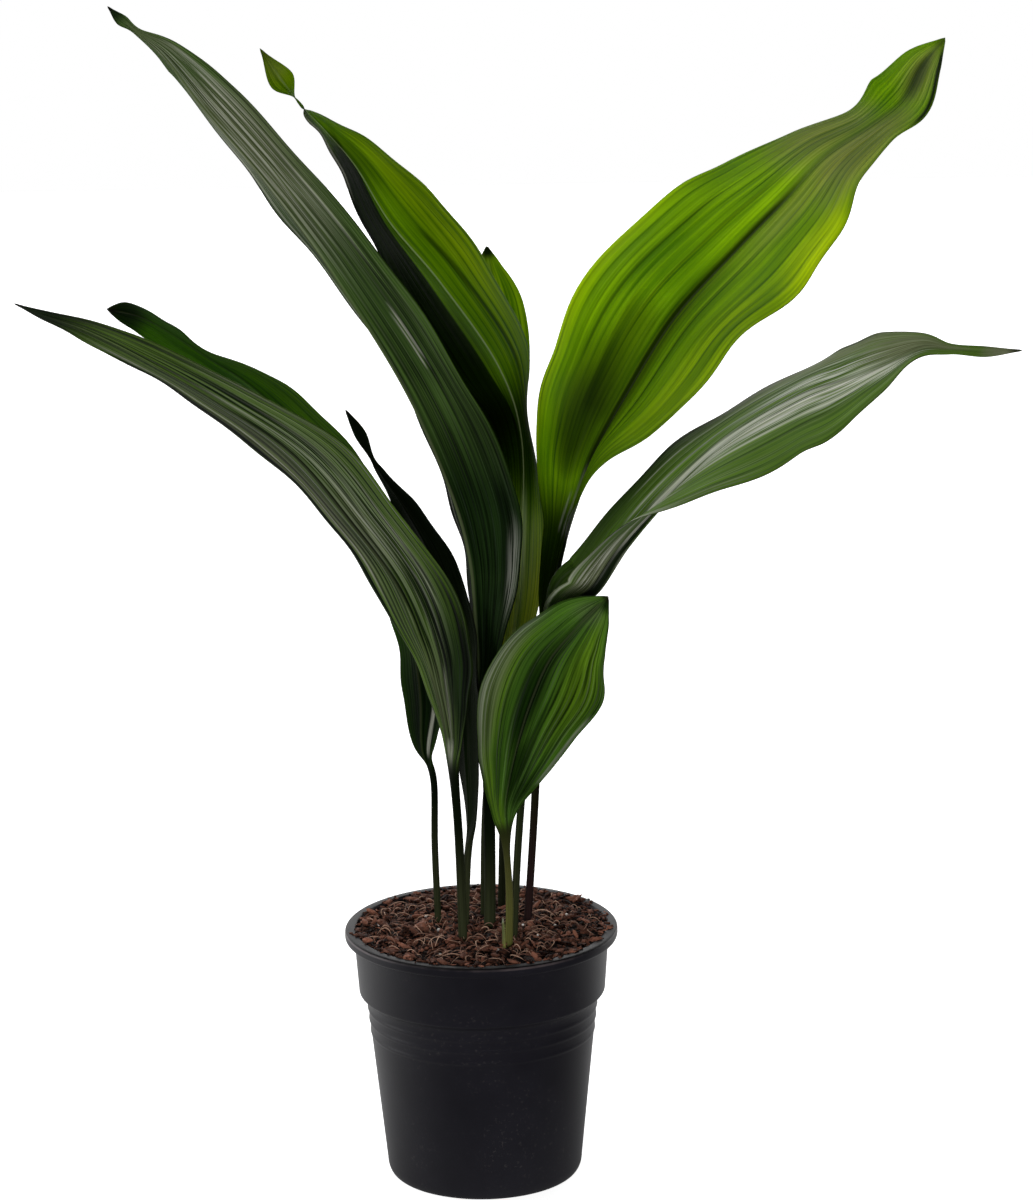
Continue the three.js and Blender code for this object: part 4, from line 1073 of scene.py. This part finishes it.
def make_sheet(name, outline, paper):
    """A sheet of the backdrop: its side outline as y and z, drawn out to the full width."""
    bm = bmesh.new()
    verts = [bm.verts.new((-FLOOR_HALF_WIDTH, y, z)) for y, z in outline]
    edges = [bm.edges.new(pair) for pair in zip(verts, verts[1:])]
    grown = bmesh.ops.extrude_edge_only(bm, edges=edges)["geom"]
    moved = [item for item in grown if isinstance(item, bmesh.types.BMVert)]
    bmesh.ops.translate(bm, verts=moved, vec=(2 * FLOOR_HALF_WIDTH, 0, 0))
    sheet = meshed(bm, name, paper)
    return sheet


def make_backdrop():
    """A floor, and a wall that lights the plant from behind but hides it from no side."""
    paper = backdrop_paper()
    cove = []
    for i in range(COVE_STEPS + 1):
        angle = pi / 2 * i / COVE_STEPS
        cove.append((WALL_Y - COVE_RADIUS * (1 - sin(angle)), COVE_RADIUS * (1 - cos(angle))))
    make_sheet("floor", [(FLOOR_FRONT, 0.0), cove[0]], paper)
    wall = make_sheet("back_wall", cove + [(WALL_Y, WALL_HEIGHT)], paper)
    wall.visible_camera = False


def backdrop_paper():
    """White paper to the camera. To the plant it is a bright wall, and a floor that darkens in front."""
    material, tree = new_material("backdrop_paper")
    spot = put(tree, "ShaderNodeSeparateXYZ", {0: place_on_object(tree)}).outputs
    wall = ramp(spot["Z"], 0.05, 0.9)
    leftward = ramp(spot["X"], 1.5, -3.0, 2.5, 3.5)
    back = scaled(spot["X"], -0.35, spot["Y"])
    floor = ramp(back, -0.2, 0.25, 0.02, 0.5)
    lit = put(tree, "ShaderNodeMix", {0: wall, 2: floor, 3: leftward}).outputs[0]
    unseen = put(tree, "ShaderNodeEmission", {"Color": WHITE, "Strength": lit})
    glow = put(tree, "ShaderNodeEmission", {"Color": WHITE, "Strength": 0.87})
    paper = put(tree, "ShaderNodeBsdfDiffuse", {"Color": (0.8, 0.8, 0.8, 1)})
    seen = put(tree, "ShaderNodeAddShader", {0: glow.outputs[0], 1: paper.outputs[0]})
    camera = put(tree, "ShaderNodeLightPath").outputs["Is Camera Ray"]
    both = put(tree, "ShaderNodeMixShader", {0: camera, 1: unseen.outputs[0], 2: seen.outputs[0]})
    surface(both)
    return material


def soft_light(name, at, aim, size, watts):
    data = bpy.data.lights.new(name, "AREA")
    data.shape = "RECTANGLE"
    data.size, data.size_y = size
    data.energy = watts
    light = placed(name, data)
    light.location = at
    light.rotation_euler = (Vector(aim) - Vector(at)).to_track_quat("-Z", "Y").to_euler()
    return light


def make_studio():
    make_backdrop()
    soft_light("left_light", (-2.2, 0.3, 0.9), (0, 0, 0.35), (0.8, 1.6), 14)
    soft_light("top_light", (-0.7, 0.2, 2.4), (0, 0, 0.3), (1.3, 1.2), 24)
    front = soft_light("front_light", (0.3, -3.4, 0.6), (0, 0, 0.4), (1.4, 1.0), 70)
    front.visible_glossy = False
    world = bpy.data.worlds.new("studio")
    world.use_nodes = True
    tree = world.node_tree
    tree.nodes.clear()
    seen = put(tree, "ShaderNodeLightPath").outputs["Is Camera Ray"]
    strength = put(tree, "ShaderNodeMix", {0: seen, 2: 0.02, 3: 1.0}).outputs[0]
    sky = put(tree, "ShaderNodeBackground", {"Color": WHITE, "Strength": strength})
    put(tree, "ShaderNodeOutputWorld", {"Surface": sky.outputs[0]})
    bpy.context.scene.world = world
    bpy.context.scene.view_settings.view_transform = "Standard"
    bpy.context.scene.view_settings.look = "None"


make_camera()
make_studio()
make_pot()
make_potting_mix()
make_leaves()
